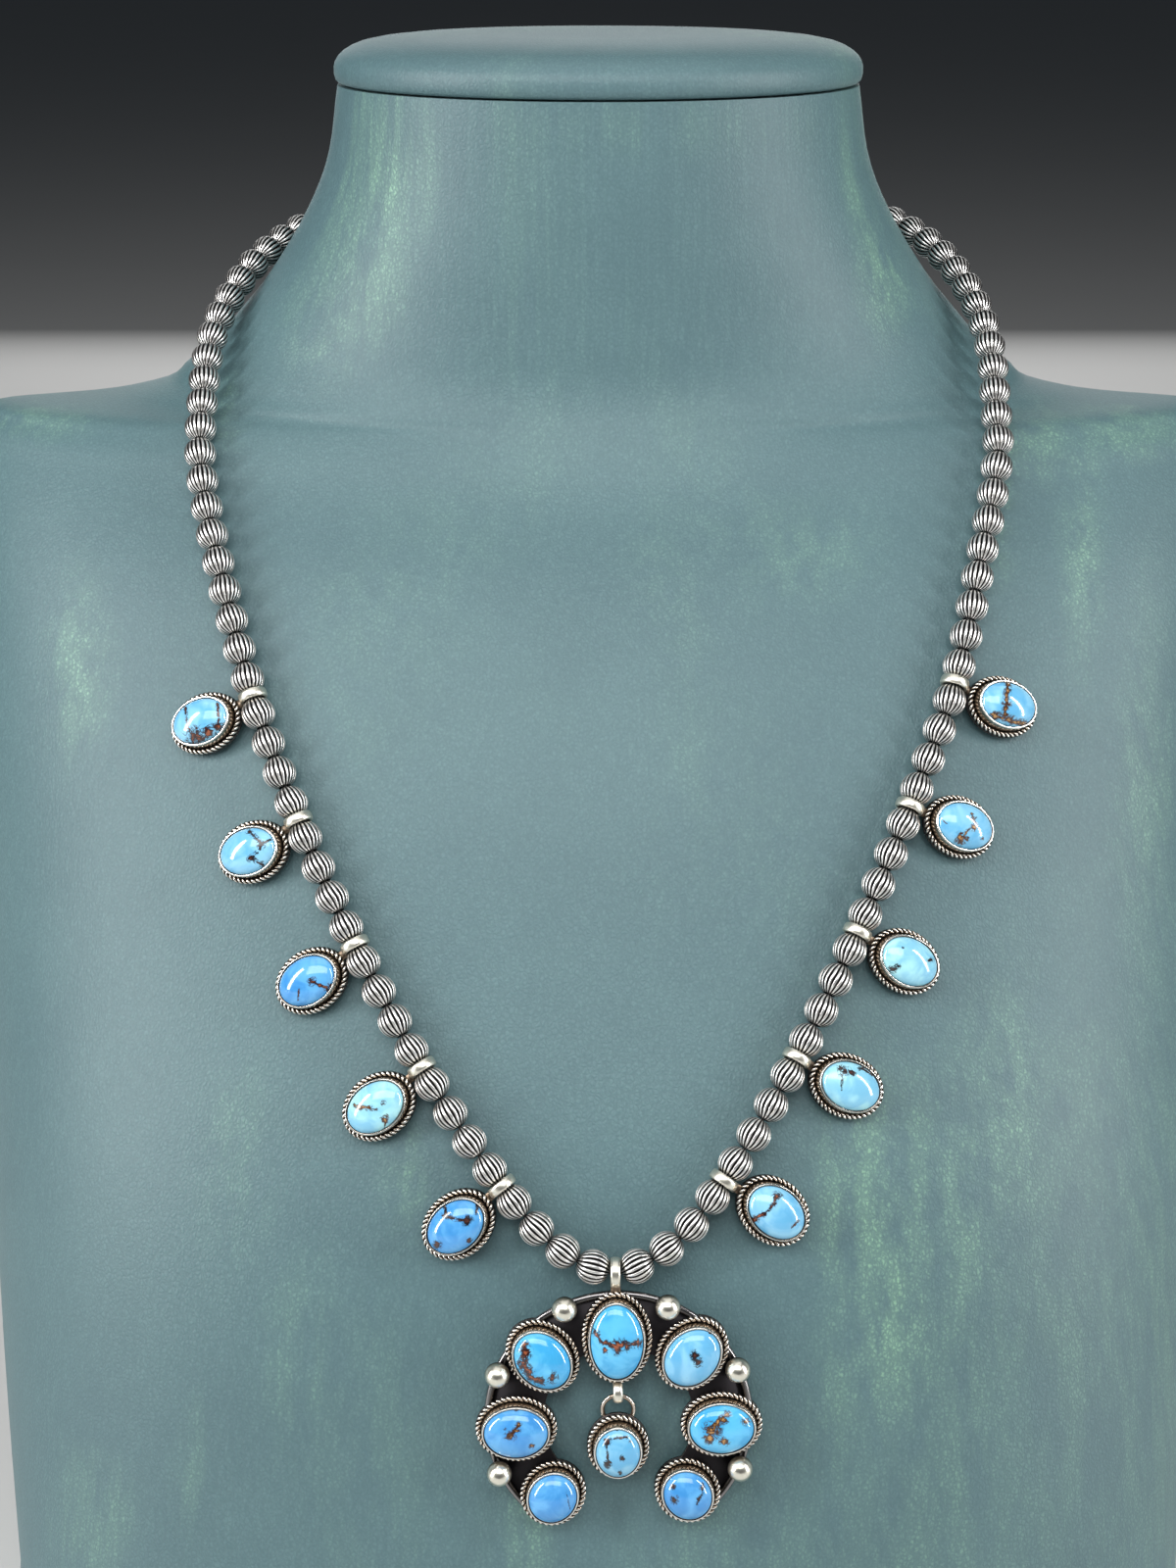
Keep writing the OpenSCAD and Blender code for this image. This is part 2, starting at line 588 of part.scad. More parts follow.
module dangle() {
    color("silver")
        multmatrix(dangle_frame)
            union() {
                translate([0, -ring_d / 2, 0])
                    rotate_extrude($fn = ROUND) translate([ring_d / 2, 0]) circle(d = link_wire, $fn = 24);
                translate([0, -dangle_down, 0]) setting(dangle_stone_length, dangle_stone_width);
            }
}

module dangle_stone() {
    color("deepskyblue")
        multmatrix(dangle_frame)
            translate([0, -dangle_down, 0]) cabochon(dangle_stone_length, dangle_stone_width);
}

bust_body();
neck_cap();
thread();
beads(LEFT);  // beads_left
beads(RIGHT);  // beads_right
clasp();
for (j = [1:DROPS_PER_SIDE]) {
    drop(LEFT, j);
    drop(RIGHT, j);
    drop_stone(LEFT, j);
    drop_stone(RIGHT, j);
}
naja();
naja_stone(NAJA_ROWS[0]);  // naja_stone_top
naja_stone(NAJA_ROWS[1]);  // naja_stone_upper_left
naja_stone(NAJA_ROWS[2]);  // naja_stone_upper_right
naja_stone(NAJA_ROWS[3]);  // naja_stone_middle_left
naja_stone(NAJA_ROWS[4]);  // naja_stone_middle_right
naja_stone(NAJA_ROWS[5]);  // naja_stone_lower_left
naja_stone(NAJA_ROWS[6]);  // naja_stone_lower_right
dangle();
dangle_stone();
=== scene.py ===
# Looks of the squash blossom necklace on its neck bust.
# Sizes here are in millimetres, as in the CAD source. A mesh is made in metres.
import json
import math

import bpy
import numpy as np
from mathutils import Matrix


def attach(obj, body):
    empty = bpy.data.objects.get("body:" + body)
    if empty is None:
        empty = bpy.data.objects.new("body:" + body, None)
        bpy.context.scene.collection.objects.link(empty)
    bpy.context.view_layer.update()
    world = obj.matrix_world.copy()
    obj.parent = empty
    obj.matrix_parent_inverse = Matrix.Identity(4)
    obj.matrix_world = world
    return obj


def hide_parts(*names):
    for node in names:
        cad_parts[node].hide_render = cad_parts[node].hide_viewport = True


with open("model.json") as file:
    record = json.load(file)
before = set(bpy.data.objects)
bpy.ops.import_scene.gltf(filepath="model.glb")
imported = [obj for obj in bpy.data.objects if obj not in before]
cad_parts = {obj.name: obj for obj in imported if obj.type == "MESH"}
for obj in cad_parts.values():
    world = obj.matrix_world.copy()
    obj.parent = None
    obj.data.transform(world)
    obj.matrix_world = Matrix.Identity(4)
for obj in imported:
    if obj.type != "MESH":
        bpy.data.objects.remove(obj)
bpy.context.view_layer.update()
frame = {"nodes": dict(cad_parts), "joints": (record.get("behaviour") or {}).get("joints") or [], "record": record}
nodes = frame["nodes"]
MM = 0.001
BODY = {node: body for body, names in frame["record"]["behaviour"]["bodies"].items() for node in names}

# Sizes that the CAD source names
BEAD_R = 3.0
BEAD_HALF = 2.7
BORE_R = 0.6
PLATE = 0.8
BEZEL_HEIGHT = 2.8
STONE_GAP = 0.1
BEZEL_WALL = 0.35
GROOVE = 0.15
ROPE = 1.0
RIM = STONE_GAP + BEZEL_WALL + GROOVE + ROPE
STONE_HEIGHT = 4.6
GIRDLE = 0.48 * STONE_HEIGHT
BAIL_WIDTH = 1.7
BAIL_BORE = 1.847
BAIL_OUT = 2.597
BAIL_MIDDLE = (BAIL_BORE + BAIL_OUT) / 2
DROP_CLEARANCE = 0.1
NAJA_DEEP = 0.4
CRESCENT_R = 22.5
CRESCENT_BAND = 9.6
CRESCENT_OPENING = 47
EDGE_WIRE = 1.3
CRESCENT_DROP = 26.3
BALL_D = 4.3
BALL_ANGLES = (23, 66, 113)
LINK_WIRE = 0.8
LOOP_D = 3.2
LOOP_WIDTH = 1.7
RING_D = 5.4
RING_OVERLAP = 2.4

# Corners round an oval setting
OVAL_SIDES = 72


def unit(v):
    v = np.asarray(v, float)
    return v / np.linalg.norm(v)


def points_of(name):
    """The different corners of a CAD node's mesh, in millimetres."""
    mesh = nodes[name].data
    co = np.empty(len(mesh.vertices) * 3)
    mesh.vertices.foreach_get("co", co)
    return np.unique(np.round(co.reshape(-1, 3) / MM, 4), axis=0)


class Shape:
    """Corners, faces and corner values that grow until they become one mesh."""

    def __init__(self):
        self.corners = []
        self.faces = []
        self.paint = []
        self.index = []
        self.count = 0

    def grid(self, points, paint=0.0, around=True, along=False, index=0):
        """A skin over rows of points: around closes each row, along closes the rows."""
        points = np.asarray(points, float)
        rows, cols = points.shape[:2]
        i = np.arange(rows if along else rows - 1)
        j = np.arange(cols if around else cols - 1)
        i, j = np.meshgrid(i, j, indexing="ij")
        i2, j2 = (i + 1) % rows, (j + 1) % cols
        quads = np.stack([i * cols + j, i * cols + j2, i2 * cols + j2, i2 * cols + j], -1)
        self.faces.append(quads.reshape(-1, 4) + self.count)
        self.index.append(np.full(quads[..., 0].size, index))
        self.corners.append(points.reshape(-1, 3))
        self.paint.append(np.broadcast_to(np.asarray(paint, float), (rows, cols)).reshape(-1))
        self.count += rows * cols

    def lid(self, ring, paint=0.0, index=0, flip=False):
        """A flat fan over a closed ring of points."""
        ring = np.asarray(ring, float)
        n = len(ring)
        k = np.arange(n)
        tri = np.stack([k, (k + 1) % n, np.full(n, n), np.full(n, n)], -1)
        if flip:
            tri = tri[:, [1, 0, 2, 3]]
        self.faces.append(tri + self.count)
        self.index.append(np.full(n, index))
        self.corners.append(np.vstack([ring, ring.mean(0)]))
        self.paint.append(np.full(n + 1, float(paint)))
        self.count += n + 1

    def add(self, other, matrix):
        """Takes in another shape, moved by a 4 x 4 matrix."""
        self.corners += [points @ matrix[:3, :3].T + matrix[:3, 3] for points in other.corners]
        self.faces += [faces + self.count for faces in other.faces]
        self.paint += other.paint
        self.index += other.index
        self.count += other.count

    def arrays(self):
        return (np.vstack(self.corners), np.vstack(self.faces), np.concatenate(self.paint),
                np.concatenate(self.index))


def make(name, shape, materials, body, replaces, extra=None):
    """Turns a shape into one smooth-shaded piece that rides on a body and stands for CAD nodes."""
    corners, faces, paint, index = shape.arrays()
    triangle = faces[:, 2] == faces[:, 3]
    sizes = np.where(triangle, 3, 4)
    keep = np.ones(faces.shape, bool)
    keep[triangle, 3] = False
    mesh = bpy.data.meshes.new(name)
    mesh.vertices.add(len(corners))
    mesh.vertices.foreach_set("co", (corners * MM).astype(np.float32).ravel())
    mesh.loops.add(int(sizes.sum()))
    mesh.loops.foreach_set("vertex_index", faces[keep].astype(np.int32))
    mesh.polygons.add(len(faces))
    starts = np.concatenate([[0], np.cumsum(sizes)[:-1]])
    mesh.polygons.foreach_set("loop_start", starts.astype(np.int32))
    mesh.polygons.foreach_set("material_index", index.astype(np.int32))
    mesh.polygons.foreach_set("use_smooth", np.full(len(faces), True))
    for look in materials:
        mesh.materials.append(look)
    values = {"oxide": paint}
    values.update(extra or {})
    for key, value in values.items():
        layer = mesh.attributes.new(key, "FLOAT", "POINT")
        layer.data.foreach_set("value", np.asarray(value, np.float32))
    mesh.update(calc_edges=True)
    mesh.validate()
    piece = bpy.data.objects.new(name, mesh)
    bpy.context.scene.collection.objects.link(piece)
    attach(piece, body)
    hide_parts(*replaces)
    return piece


def matrix(origin, x, y, z):
    """The 4 x 4 matrix of a frame."""
    m = np.eye(4)
    m[:3, 0], m[:3, 1], m[:3, 2], m[:3, 3] = x, y, z, origin
    return m


# Materials
def material(name):
    """A new material with one Principled shader: the material, its node tree and the shader."""
    m = bpy.data.materials.new(name)
    m.use_nodes = True
    tree = m.node_tree
    tree.nodes.clear()
    out = tree.nodes.new("ShaderNodeOutputMaterial")
    shader = tree.nodes.new("ShaderNodeBsdfPrincipled")
    tree.links.new(shader.outputs[0], out.inputs[0])
    return m, tree, shader


class Nodes:
    """Short names for the node tree's calls."""

    def __init__(self, tree):
        self.tree = tree

    def new(self, kind, **settings):
        node = self.tree.nodes.new("ShaderNode" + kind)
        for key, value in settings.items():
            setattr(node, key, value)
        return node

    def link(self, a, b):
        self.tree.links.new(a, b)

    def value(self, socket, v):
        """Sets a socket to a number or a colour, or links it to another socket."""
        if hasattr(v, "is_output"):
            self.link(v, socket)
        else:
            socket.default_value = (*v, 1) if isinstance(v, tuple) else v

    def math(self, what, a, b=0.0, clamp=False):
        node = self.new("Math", operation=what, use_clamp=clamp)
        self.value(node.inputs[0], a)
        self.value(node.inputs[1], b)
        return node.outputs[0]

    def ramp(self, source, low, high, a=0.0, b=1.0):
        """A soft step from a to b while the source goes from low to high."""
        node = self.new("MapRange", interpolation_type="SMOOTHSTEP")
        self.value(node.inputs[0], source)
        for i, v in enumerate((low, high, a, b)):
            node.inputs[i + 1].default_value = v
        return node.outputs[0]

    def mix(self, share, a, b):
        node = self.new("Mix", data_type="RGBA")
        self.value(node.inputs[0], share)
        self.value(node.inputs[6], a)
        self.value(node.inputs[7], b)
        return node.outputs[2]

    def place(self, scale=(1, 1, 1)):
        node = self.new("Mapping")
        self.link(self.new("TexCoord").outputs["Object"], node.inputs[0])
        node.inputs["Scale"].default_value = scale
        return node.outputs[0]

    def noise(self, where, scale, detail=3.0, rough=0.55, distort=0.0):
        node = self.new("TexNoise")
        self.link(where, node.inputs["Vector"])
        node.inputs["Scale"].default_value = scale
        node.inputs["Detail"].default_value = detail
        node.inputs["Roughness"].default_value = rough
        node.inputs["Distortion"].default_value = distort
        return node.outputs["Fac"]

    def painted(self, name):
        return self.new("Attribute", attribute_name=name).outputs["Fac"]

    def bump(self, height, strength, distance, shader):
        node = self.new("Bump")
        node.inputs["Strength"].default_value = strength
        node.inputs["Distance"].default_value = distance
        self.link(height, node.inputs["Height"])
        self.link(node.outputs[0], shader.inputs["Normal"])


def silver(name, bright=(0.84, 0.82, 0.77), brown=(0.3, 0.19, 0.1), dark=(0.012, 0.011, 0.012),
           low=0.35, high=0.85, rough=0.24, mottle=0.22, tarnish=0.0, grain=0.08):
    """Old silver: the paint value oxide says where it is browned and blackened."""
    m, tree, shader = material(name)
    n = Nodes(tree)
    where = n.place()
    cloud = n.noise(where, 700, 4)
    fine = n.noise(where, 3500, 3)
    patches = n.math("MULTIPLY", n.math("SUBTRACT", cloud, 0.5), mottle * 2)
    oxide = n.math("ADD", n.painted("oxide"), patches)
    black = n.ramp(oxide, low + 0.15, high)
    warm = n.ramp(oxide, low - 0.2, low + 0.25, tarnish, 0.85)
    n.link(n.mix(black, n.mix(warm, bright, brown), dark), shader.inputs["Base Color"])
    shader.inputs["Metallic"].default_value = 1.0
    spots = n.math("MULTIPLY", n.math("SUBTRACT", fine, 0.5), 2 * grain)
    base = n.math("ADD", n.math("MULTIPLY", black, 0.25), rough)
    n.link(n.math("ADD", base, spots, clamp=True), shader.inputs["Roughness"])
    n.bump(fine, grain, 0.00003, shader)
    return m


SILVER = silver("antique_silver")
BEAD_SILVER = silver("bead_silver", bright=(0.82, 0.81, 0.79), brown=(0.35, 0.32, 0.29), low=0.45,
                     high=0.95, rough=0.3, mottle=0.02, grain=0.02)
BAIL_SILVER = silver("bail_silver", bright=(0.86, 0.83, 0.72), brown=(0.32, 0.25, 0.16), low=0.5,
                     high=1.0, rough=0.34, mottle=0.02, tarnish=0.03, grain=0.03)
SATIN_SILVER = silver("satin_silver", bright=(0.84, 0.81, 0.7), brown=(0.3, 0.25, 0.18), low=0.45,
                      high=1.0, rough=0.3, mottle=0.03, grain=0.03)
EDGE_SILVER = silver("edge_silver", bright=(0.24, 0.23, 0.23), brown=(0.07, 0.065, 0.06), low=0.4,
                     high=0.95, rough=0.22, mottle=0.12, grain=0.05)
PLATE_SILVER = silver("blackened_silver", bright=(0.28, 0.26, 0.25), brown=(0.085, 0.07, 0.065),
                      dark=(0.025, 0.023, 0.025), low=0.25, high=0.75, rough=0.26, mottle=0.2)
# Places of these in the list of materials that a piece of metal gets
METALS = [SILVER, PLATE_SILVER, BAIL_SILVER, SATIN_SILVER, EDGE_SILVER]
ANTIQUE, BLACK, BAIL, SATIN, EDGE = range(5)


def turquoise(name, tone, pale, mark, spot):
    """Polished turquoise: the paint value mark says where the matrix runs."""
    m, tree, shader = material(name)
    n = Nodes(tree)
    where = n.place()
    cloud = n.noise(where, 230, 3, 0.5, 0.8)
    grain = n.noise(where, 900, 8, 0.75, 0.6)
    tint = n.noise(where, 1700, 4, 0.65)
    speck = n.noise(where, 2600, 3, 0.6)
    web = n.noise(where, 480, 6, 0.6, 1.2)
    ridge = n.math("ABSOLUTE", n.math("SUBTRACT", web, 0.5))
    thread = n.math("SUBTRACT", 1.0, n.math("MULTIPLY", ridge, 22))
    base = n.mix(n.ramp(cloud, 0.36, 0.66), tone, pale)
    base = n.mix(n.math("MULTIPLY", n.ramp(speck, 0.62, 0.74), 0.25), base, tuple(c * 0.55 for c in tone))
    painted = n.painted("mark")
    field = n.math("ADD", painted, n.math("MULTIPLY", n.math("SUBTRACT", grain, 0.5), 2.4))
    strands = n.math("MULTIPLY", n.ramp(thread, 0.1, 0.7), n.ramp(painted, 0.12, 0.5))
    inside = n.math("MAXIMUM", n.ramp(field, 0.66, 0.72), n.math("MULTIPLY", strands, 0.9))
    halo = n.ramp(field, 0.42, 0.7)
    core = n.math("MULTIPLY", n.ramp(field, 0.84, 1.05), n.ramp(tint, 0.42, 0.58))
    colours = n.mix(core, mark, spot)
    edged = n.mix(n.math("MULTIPLY", halo, 0.4), base, tuple(c * 0.45 for c in tone))
    n.link(n.mix(inside, edged, colours), shader.inputs["Base Color"])
    n.link(n.math("ADD", n.math("MULTIPLY", inside, 0.12), 0.12), shader.inputs["Roughness"])
    shader.inputs["Coat Weight"].default_value = 0.5
    shader.inputs["Coat Roughness"].default_value = 0.04
    height = n.math("ADD", n.math("MULTIPLY", inside, -0.7), n.math("MULTIPLY", speck, 0.08))
    n.bump(height, 0.3, 0.00005, shader)
    return m


def leather_cloth():
    """Teal pebbled leather cloth; a paint value says where pale green was brushed over it, and where the same
    green lies as a painted highlight on the shoulders' top edges.
    """
    m, tree, shader = material("leather_cloth")
    n = Nodes(tree)
    where = n.place()
    streak = n.noise(n.place((1, 1, 0.09)), 210, 5, 0.62)
    line = n.noise(n.place((1, 1, 0.03)), 1100, 3, 0.6)
    patch = n.noise(n.place((1, 1, 0.35)), 12, 3, 0.55, 0.4)
    fine = n.noise(where, 1900, 4, 0.7)
    cells = n.new("TexVoronoi", feature="DISTANCE_TO_EDGE")
    n.link(n.place((1, 1, 0.75)), cells.inputs["Vector"])
    cells.inputs["Scale"].default_value = 1350
    crest = n.ramp(cells.outputs["Distance"], 0.0, 0.34)
    brush_and_highlight_strength = n.math("ADD", n.math("MULTIPLY", n.painted("brush_and_highlight"), 0.95),
                     n.math("MULTIPLY", n.ramp(patch, 0.46, 0.7), 0.4))
    brush_and_highlight_strength = n.math("MULTIPLY", brush_and_highlight_strength, n.ramp(streak, 0.34, 0.62))
    grain = n.math("MULTIPLY", n.math("ADD", crest, 0.12), n.ramp(line, 0.3, 0.62))
    grain = n.math("MULTIPLY", grain, n.ramp(fine, 0.36, 0.6))
    share = n.math("MULTIPLY", brush_and_highlight_strength, n.math("ADD", n.math("MULTIPLY", grain, 0.72), 0.2), clamp=True)
    soft = n.noise(where, 24, 4)
    base = n.mix(n.ramp(soft, 0.35, 0.65), (0.084, 0.152, 0.168), (0.097, 0.174, 0.188))
    base = n.mix(n.math("MULTIPLY", n.ramp(line, 0.45, 0.65), 0.22), base, (0.13, 0.235, 0.235))
    base = n.mix(n.math("MULTIPLY", n.ramp(fine, 0.6, 0.4), 0.35), base, (0.055, 0.108, 0.12))
    base = n.mix(n.math("MULTIPLY", n.math("SUBTRACT", 1.0, crest), 0.3), base, (0.052, 0.104, 0.115))
    # Pale green of the brush marks; the same green paints the highlight on the shoulders' top edges
    n.link(n.mix(share, base, (0.26, 0.46, 0.31)), shader.inputs["Base Color"])
    n.link(n.math("MULTIPLY", share, 0.25), shader.inputs["Metallic"])
    n.link(n.ramp(share, 0.0, 1.0, 0.5, 0.38), shader.inputs["Roughness"])
    shader.inputs["Specular IOR Level"].default_value = 0.5
    n.bump(n.math("ADD", crest, n.math("MULTIPLY", fine, 0.9)), 0.26, 0.00012, shader)
    return m


def mottled(name, colour, other, scale, rough):
    """A dull surface that wanders between two colours."""
    m, tree, shader = material(name)
    n = Nodes(tree)
    n.link(n.mix(n.noise(n.place(), scale, 2), colour, other), shader.inputs["Base Color"])
    shader.inputs["Roughness"].default_value = rough
    return m


THREAD = mottled("thread_fibre", (0.03, 0.028, 0.025), (0.054, 0.0504, 0.045), 4000, 0.8)
for name, look in (("thread", THREAD), ("clasp", SILVER)):
    nodes[name].data.materials.clear()
    nodes[name].data.materials.append(look)


# Fluted beads
FLUTES = 20
FLUTE_DEPTH = 0.4
# One flute: place in degrees of its pitch from the groove's middle, share of the depth and blackness
FLUTE = ((0, 1, 1.3), (48, 0.8, 1.2), (80, 0.2, 0.75), (118, 0.0, 0.05),
         (242, 0.0, 0.05), (280, 0.2, 0.75), (312, 0.8, 1.2))
# Rows of corners from one end of a bead to the other
BEAD_ROWS = 12
# How far the flutes run past the bead's half length, and how deep the bore's edge lies in its end
FLUTE_LAP = 0.08
BORE_SINK = 0.2
# How far the flutes twist between a bead's middle and its ends, in degrees, bead after bead
TWISTS = (-6, 4, 0, -3, 7)


def beads_of(name):
    """Splits the node's mesh into its loose beads: each has a middle and an axis."""
    mesh = nodes[name].data
    co = np.empty(len(mesh.vertices) * 3)
    mesh.vertices.foreach_get("co", co)
    co = co.reshape(-1, 3) / MM
    unique, inverse = np.unique(np.round(co, 3), axis=0, return_inverse=True)
    inverse = inverse.reshape(-1)
    edges = np.empty(len(mesh.edges) * 2, np.int64)
    mesh.edges.foreach_get("vertices", edges)
    edges = inverse[edges].reshape(-1, 2)
    group = np.arange(len(unique))
    while True:
        low = np.minimum(group[edges[:, 0]], group[edges[:, 1]])
        before = group.copy()
        np.minimum.at(group, edges[:, 0], low)
        np.minimum.at(group, edges[:, 1], low)
        group = group[group]
        if (group == before).all():
            break
    out = []
    for g in np.unique(group):
        p = unique[group == g]
        middle = p.mean(0)
        values, vectors = np.linalg.eigh(np.cov((p - middle).T))
        odd = 0 if abs(values[1] - values[2]) < abs(values[1] - values[0]) else 2
        out.append((middle, vectors[:, odd]))
    return out


def fluted_bead(twist):
    """One bead along Z: rounded ridges with narrow black grooves between them, from bore to bore."""
    end = math.asin((BEAD_HALF + FLUTE_LAP) / BEAD_R)
    lat = np.linspace(-end, end, BEAD_ROWS)
    place = (np.arange(FLUTES)[:, None] + np.array([f[0] for f in FLUTE]) / 360).reshape(-1)
    turn = place * 2 * math.pi / FLUTES
    deep = np.tile([f[1] for f in FLUTE], FLUTES)
    black = np.tile([f[2] for f in FLUTE], FLUTES)
    around = turn[None, :] + math.radians(twist) * np.sin(lat)[:, None]
    fade = np.cos(lat[:, None]) ** 0.7
    flat = (BEAD_R - FLUTE_DEPTH * fade * deep[None, :]) * np.cos(lat[:, None])
    height = BEAD_R * np.sin(lat[:, None]) + 0 * flat
    pts = np.stack([flat * np.cos(around), flat * np.sin(around), height], -1)
    # Darker towards each end of the bead
    toward_ends = (np.abs(lat[:, None]) / end) ** 5
    shape = Shape()
    shape.grid(pts, black[None, :] + 0.35 * toward_ends)
    for side in (-1, 1):
        edge = pts[-1] if side > 0 else pts[0]
        a = around[-1] if side > 0 else around[0]
        height = np.full(a.size, side * (BEAD_HALF - BORE_SINK))
        bore = np.stack([BORE_R * np.cos(a), BORE_R * np.sin(a), height], -1)
        shape.grid([edge, bore] if side > 0 else [bore, edge], [[1.0], [1.1]])
    return shape


def bead_matrix(middle, axis, spin):
    """Puts a bead on its axis, turned by spin about it."""
    side = unit(np.cross(axis, (0.31, 0.52, 0.79)))
    up = np.cross(axis, side)
    c, s = math.cos(spin), math.sin(spin)
    return matrix(middle, c * side + s * up, c * up - s * side, axis)


VARIANTS = [fluted_bead(twist) for twist in TWISTS]
bead_axes = []
for name in ("beads_left", "beads_right"):
    string = Shape()
    for k, (middle, axis) in enumerate(beads_of(name)):
        bead_axes.append((middle, axis))
        string.add(VARIANTS[k % len(VARIANTS)], bead_matrix(middle, axis, 0.7 * k))
    make(name + "_fluted", string, [BEAD_SILVER], BODY[name], [name])


# Settings, from the frames of their stones
def stone_frame(name, up_hint):
    """Foot of the stone's axis, its width, length and out directions, its length and width."""
    p = points_of(name)
    middle = p.mean(0)
    _, vectors = np.linalg.eigh(np.cov((p - middle).T))
    out, across, along = vectors[:, 0], vectors[:, 1], vectors[:, 2]
    h = (p - middle) @ out
    r = np.linalg.norm((p - middle) - h[:, None] * out, axis=1)
    if r[h > h.max() - 0.01].max() > r[h < h.min() + 0.01].max():
        out = -out
        h = -h
    if along @ up_hint < 0:
        along = -along
    across = np.cross(along, out)
    foot = middle + h.min() * out
    length = np.ptp(p @ along)
    width = np.ptp(p @ across)
    return foot, across, along, out, length, width


def oval(length, width, off, z, a):
    """Points at angles a on an oval, moved outwards by off."""
    x = (width / 2 + off) * np.sin(a)
    y = (length / 2 + off) * np.cos(a)
    return np.stack([x, y, np.full(a.size, float(z))], -1)


def band(shape, length, width, profile, index, closed):
    """A skin round an oval, top row first: profile rows are [offset, height, oxide]."""
    a = np.arange(OVAL_SIDES) * 2 * math.pi / OVAL_SIDES
    rows = [oval(length, width, off, z, a) for off, z, _ in profile]
    shape.grid(rows[::-1], [[p[2]] for p in profile[::-1]], along=closed, index=index)
    return rows


def rope(shape, length, width, off, z):
    """Two strands of wire twisted round each other, along an oval."""
    lobe, strand, centre, sides = 0.92, 0.275, 0.255, 7
    a = np.linspace(0, 2 * math.pi, 721)
    x, y, _ = oval(length, width, off, z, a).T
    run = np.concatenate([[0], np.cumsum(np.hypot(np.diff(x), np.diff(y)))])
    twists = max(8, round(run[-1] / lobe / 2))
    count = twists * 11
    s = np.arange(count) / count * run[-1]
    a = np.interp(s, run, a)
    at = oval(length, width, off, z, a)
    ahead = np.stack([(width / 2 + off) * np.cos(a), -(length / 2 + off) * np.sin(a), np.zeros(count)], -1)
    ahead /= np.linalg.norm(ahead, axis=1)[:, None]
    outward = np.stack([-ahead[:, 1], ahead[:, 0], np.zeros(count)], -1)
    up = np.array([0, 0, 1.0])
    twist = 2 * math.pi * twists * s / run[-1]
    for start in (0, math.pi):
        t = twist + start
        radial = np.cos(t)[:, None] * outward + np.sin(t)[:, None] * up
        spin = -np.sin(t)[:, None] * outward + np.cos(t)[:, None] * up
        middle = at + centre * radial
        slope = 2 * math.pi * twists / run[-1] * centre
        forward = ahead + slope * spin
        forward /= np.linalg.norm(forward, axis=1)[:, None]
        side = np.cross(radial, forward)
        ring = np.arange(sides) * 2 * math.pi / sides
        pts = (middle[:, None, :] + strand * (np.cos(ring)[None, :, None] * radial[:, None, :]
                                              + np.sin(ring)[None, :, None] * side[:, None, :]))
        paint = 1.05 - 1.0 * np.cos(ring)[None, :] + 0 * s[:, None]
        paint = paint + 0.3 * np.clip(-np.sin(t)[:, None], 0, 1)
        shape.grid(pts, paint, along=True, index=ANTIQUE)


def setting(length, width):
    """Plate, bezel and rope border with the flat back on Z = 0."""
    shape = Shape()
    top = PLATE + BEZEL_HEIGHT
    out = RIM - 0.04
    plate = [(out - 0.2, 0, 0.6), (out, 0.2, 0.35), (out, PLATE - 0.2, 0.4), (out - 0.2, PLATE, 0.9),
             (STONE_GAP, PLATE + 0.02, 1.0)]
    rows = band(shape, length, width, plate, BLACK, False)
    shape.lid(rows[0], 0.7, index=BLACK)
    inner = STONE_GAP
    outer = STONE_GAP + BEZEL_WALL
    wall = [(outer + 0.12, PLATE, 1.1), (outer + 0.1, PLATE + 0.5, 0.9), (outer + 0.06, PLATE + 1.2, 0.6),
            (outer + 0.02, PLATE + 1.9, 0.48), (outer - 0.02, top - 0.42, 0.42),
            (outer - 0.06, top - 0.2, 0.28), (outer - 0.13, top - 0.04, 0.0), (outer - 0.2, top, 0.0),
            (inner + 0.03, top - 0.02, 0.2), (inner - 0.05, top - 0.04, 0.95),
            (inner - 0.1, top - 0.14, 1.2), (inner - 0.05, top - 0.5, 1.2), (inner, PLATE, 1.2)]
    band(shape, length, width, wall, ANTIQUE, True)
    rope(shape, length, width, outer + GROOVE + ROPE / 2, PLATE + ROPE / 2)
    return shape


def bail():
    """A soft-edged band round the X axis."""
    sides = 48
    h = BAIL_WIDTH / 2
    bore, out = BAIL_BORE, BAIL_OUT
    profile = [(-h + 0.12, bore, 0.9), (-h, bore + 0.12, 0.6), (-h, out - 0.3, 0.25),
               (-h + 0.12, out - 0.1, 0.05), (-h * 0.45, out, 0.0), (h * 0.45, out, 0.0),
               (h - 0.12, out - 0.1, 0.05), (h, out - 0.3, 0.25), (h, bore + 0.12, 0.6),
               (h - 0.12, bore, 0.9)]
    a = np.arange(sides) * 2 * math.pi / sides
    rows = [np.stack([np.full(sides, x), r * np.cos(a), r * np.sin(a)], -1) for x, r, _ in profile]
    shape = Shape()
    shape.grid(rows, [[p[2]] for p in profile], along=True, index=BAIL)
    return shape


def bar(x, y0, y1, z1, c, oxide):
    """A bar along Y from just above Z = 0, with its edges cut off by c."""
    shape = Shape()
    z0 = 0.02
    out = [(-x, z0 + c), (-x + c, z0), (x - c, z0), (x, z0 + c), (x, z1 - c), (x - c, z1), (-x + c, z1),
           (-x, z1 - c)]
    rows = [np.array([(px, y, pz) for px, pz in out]) for y in (y0, y1)]
    shape.grid(rows, oxide, index=ANTIQUE)
    shape.lid(rows[0], oxide, index=ANTIQUE)
    shape.lid(rows[1], oxide, index=ANTIQUE, flip=True)
    return shape


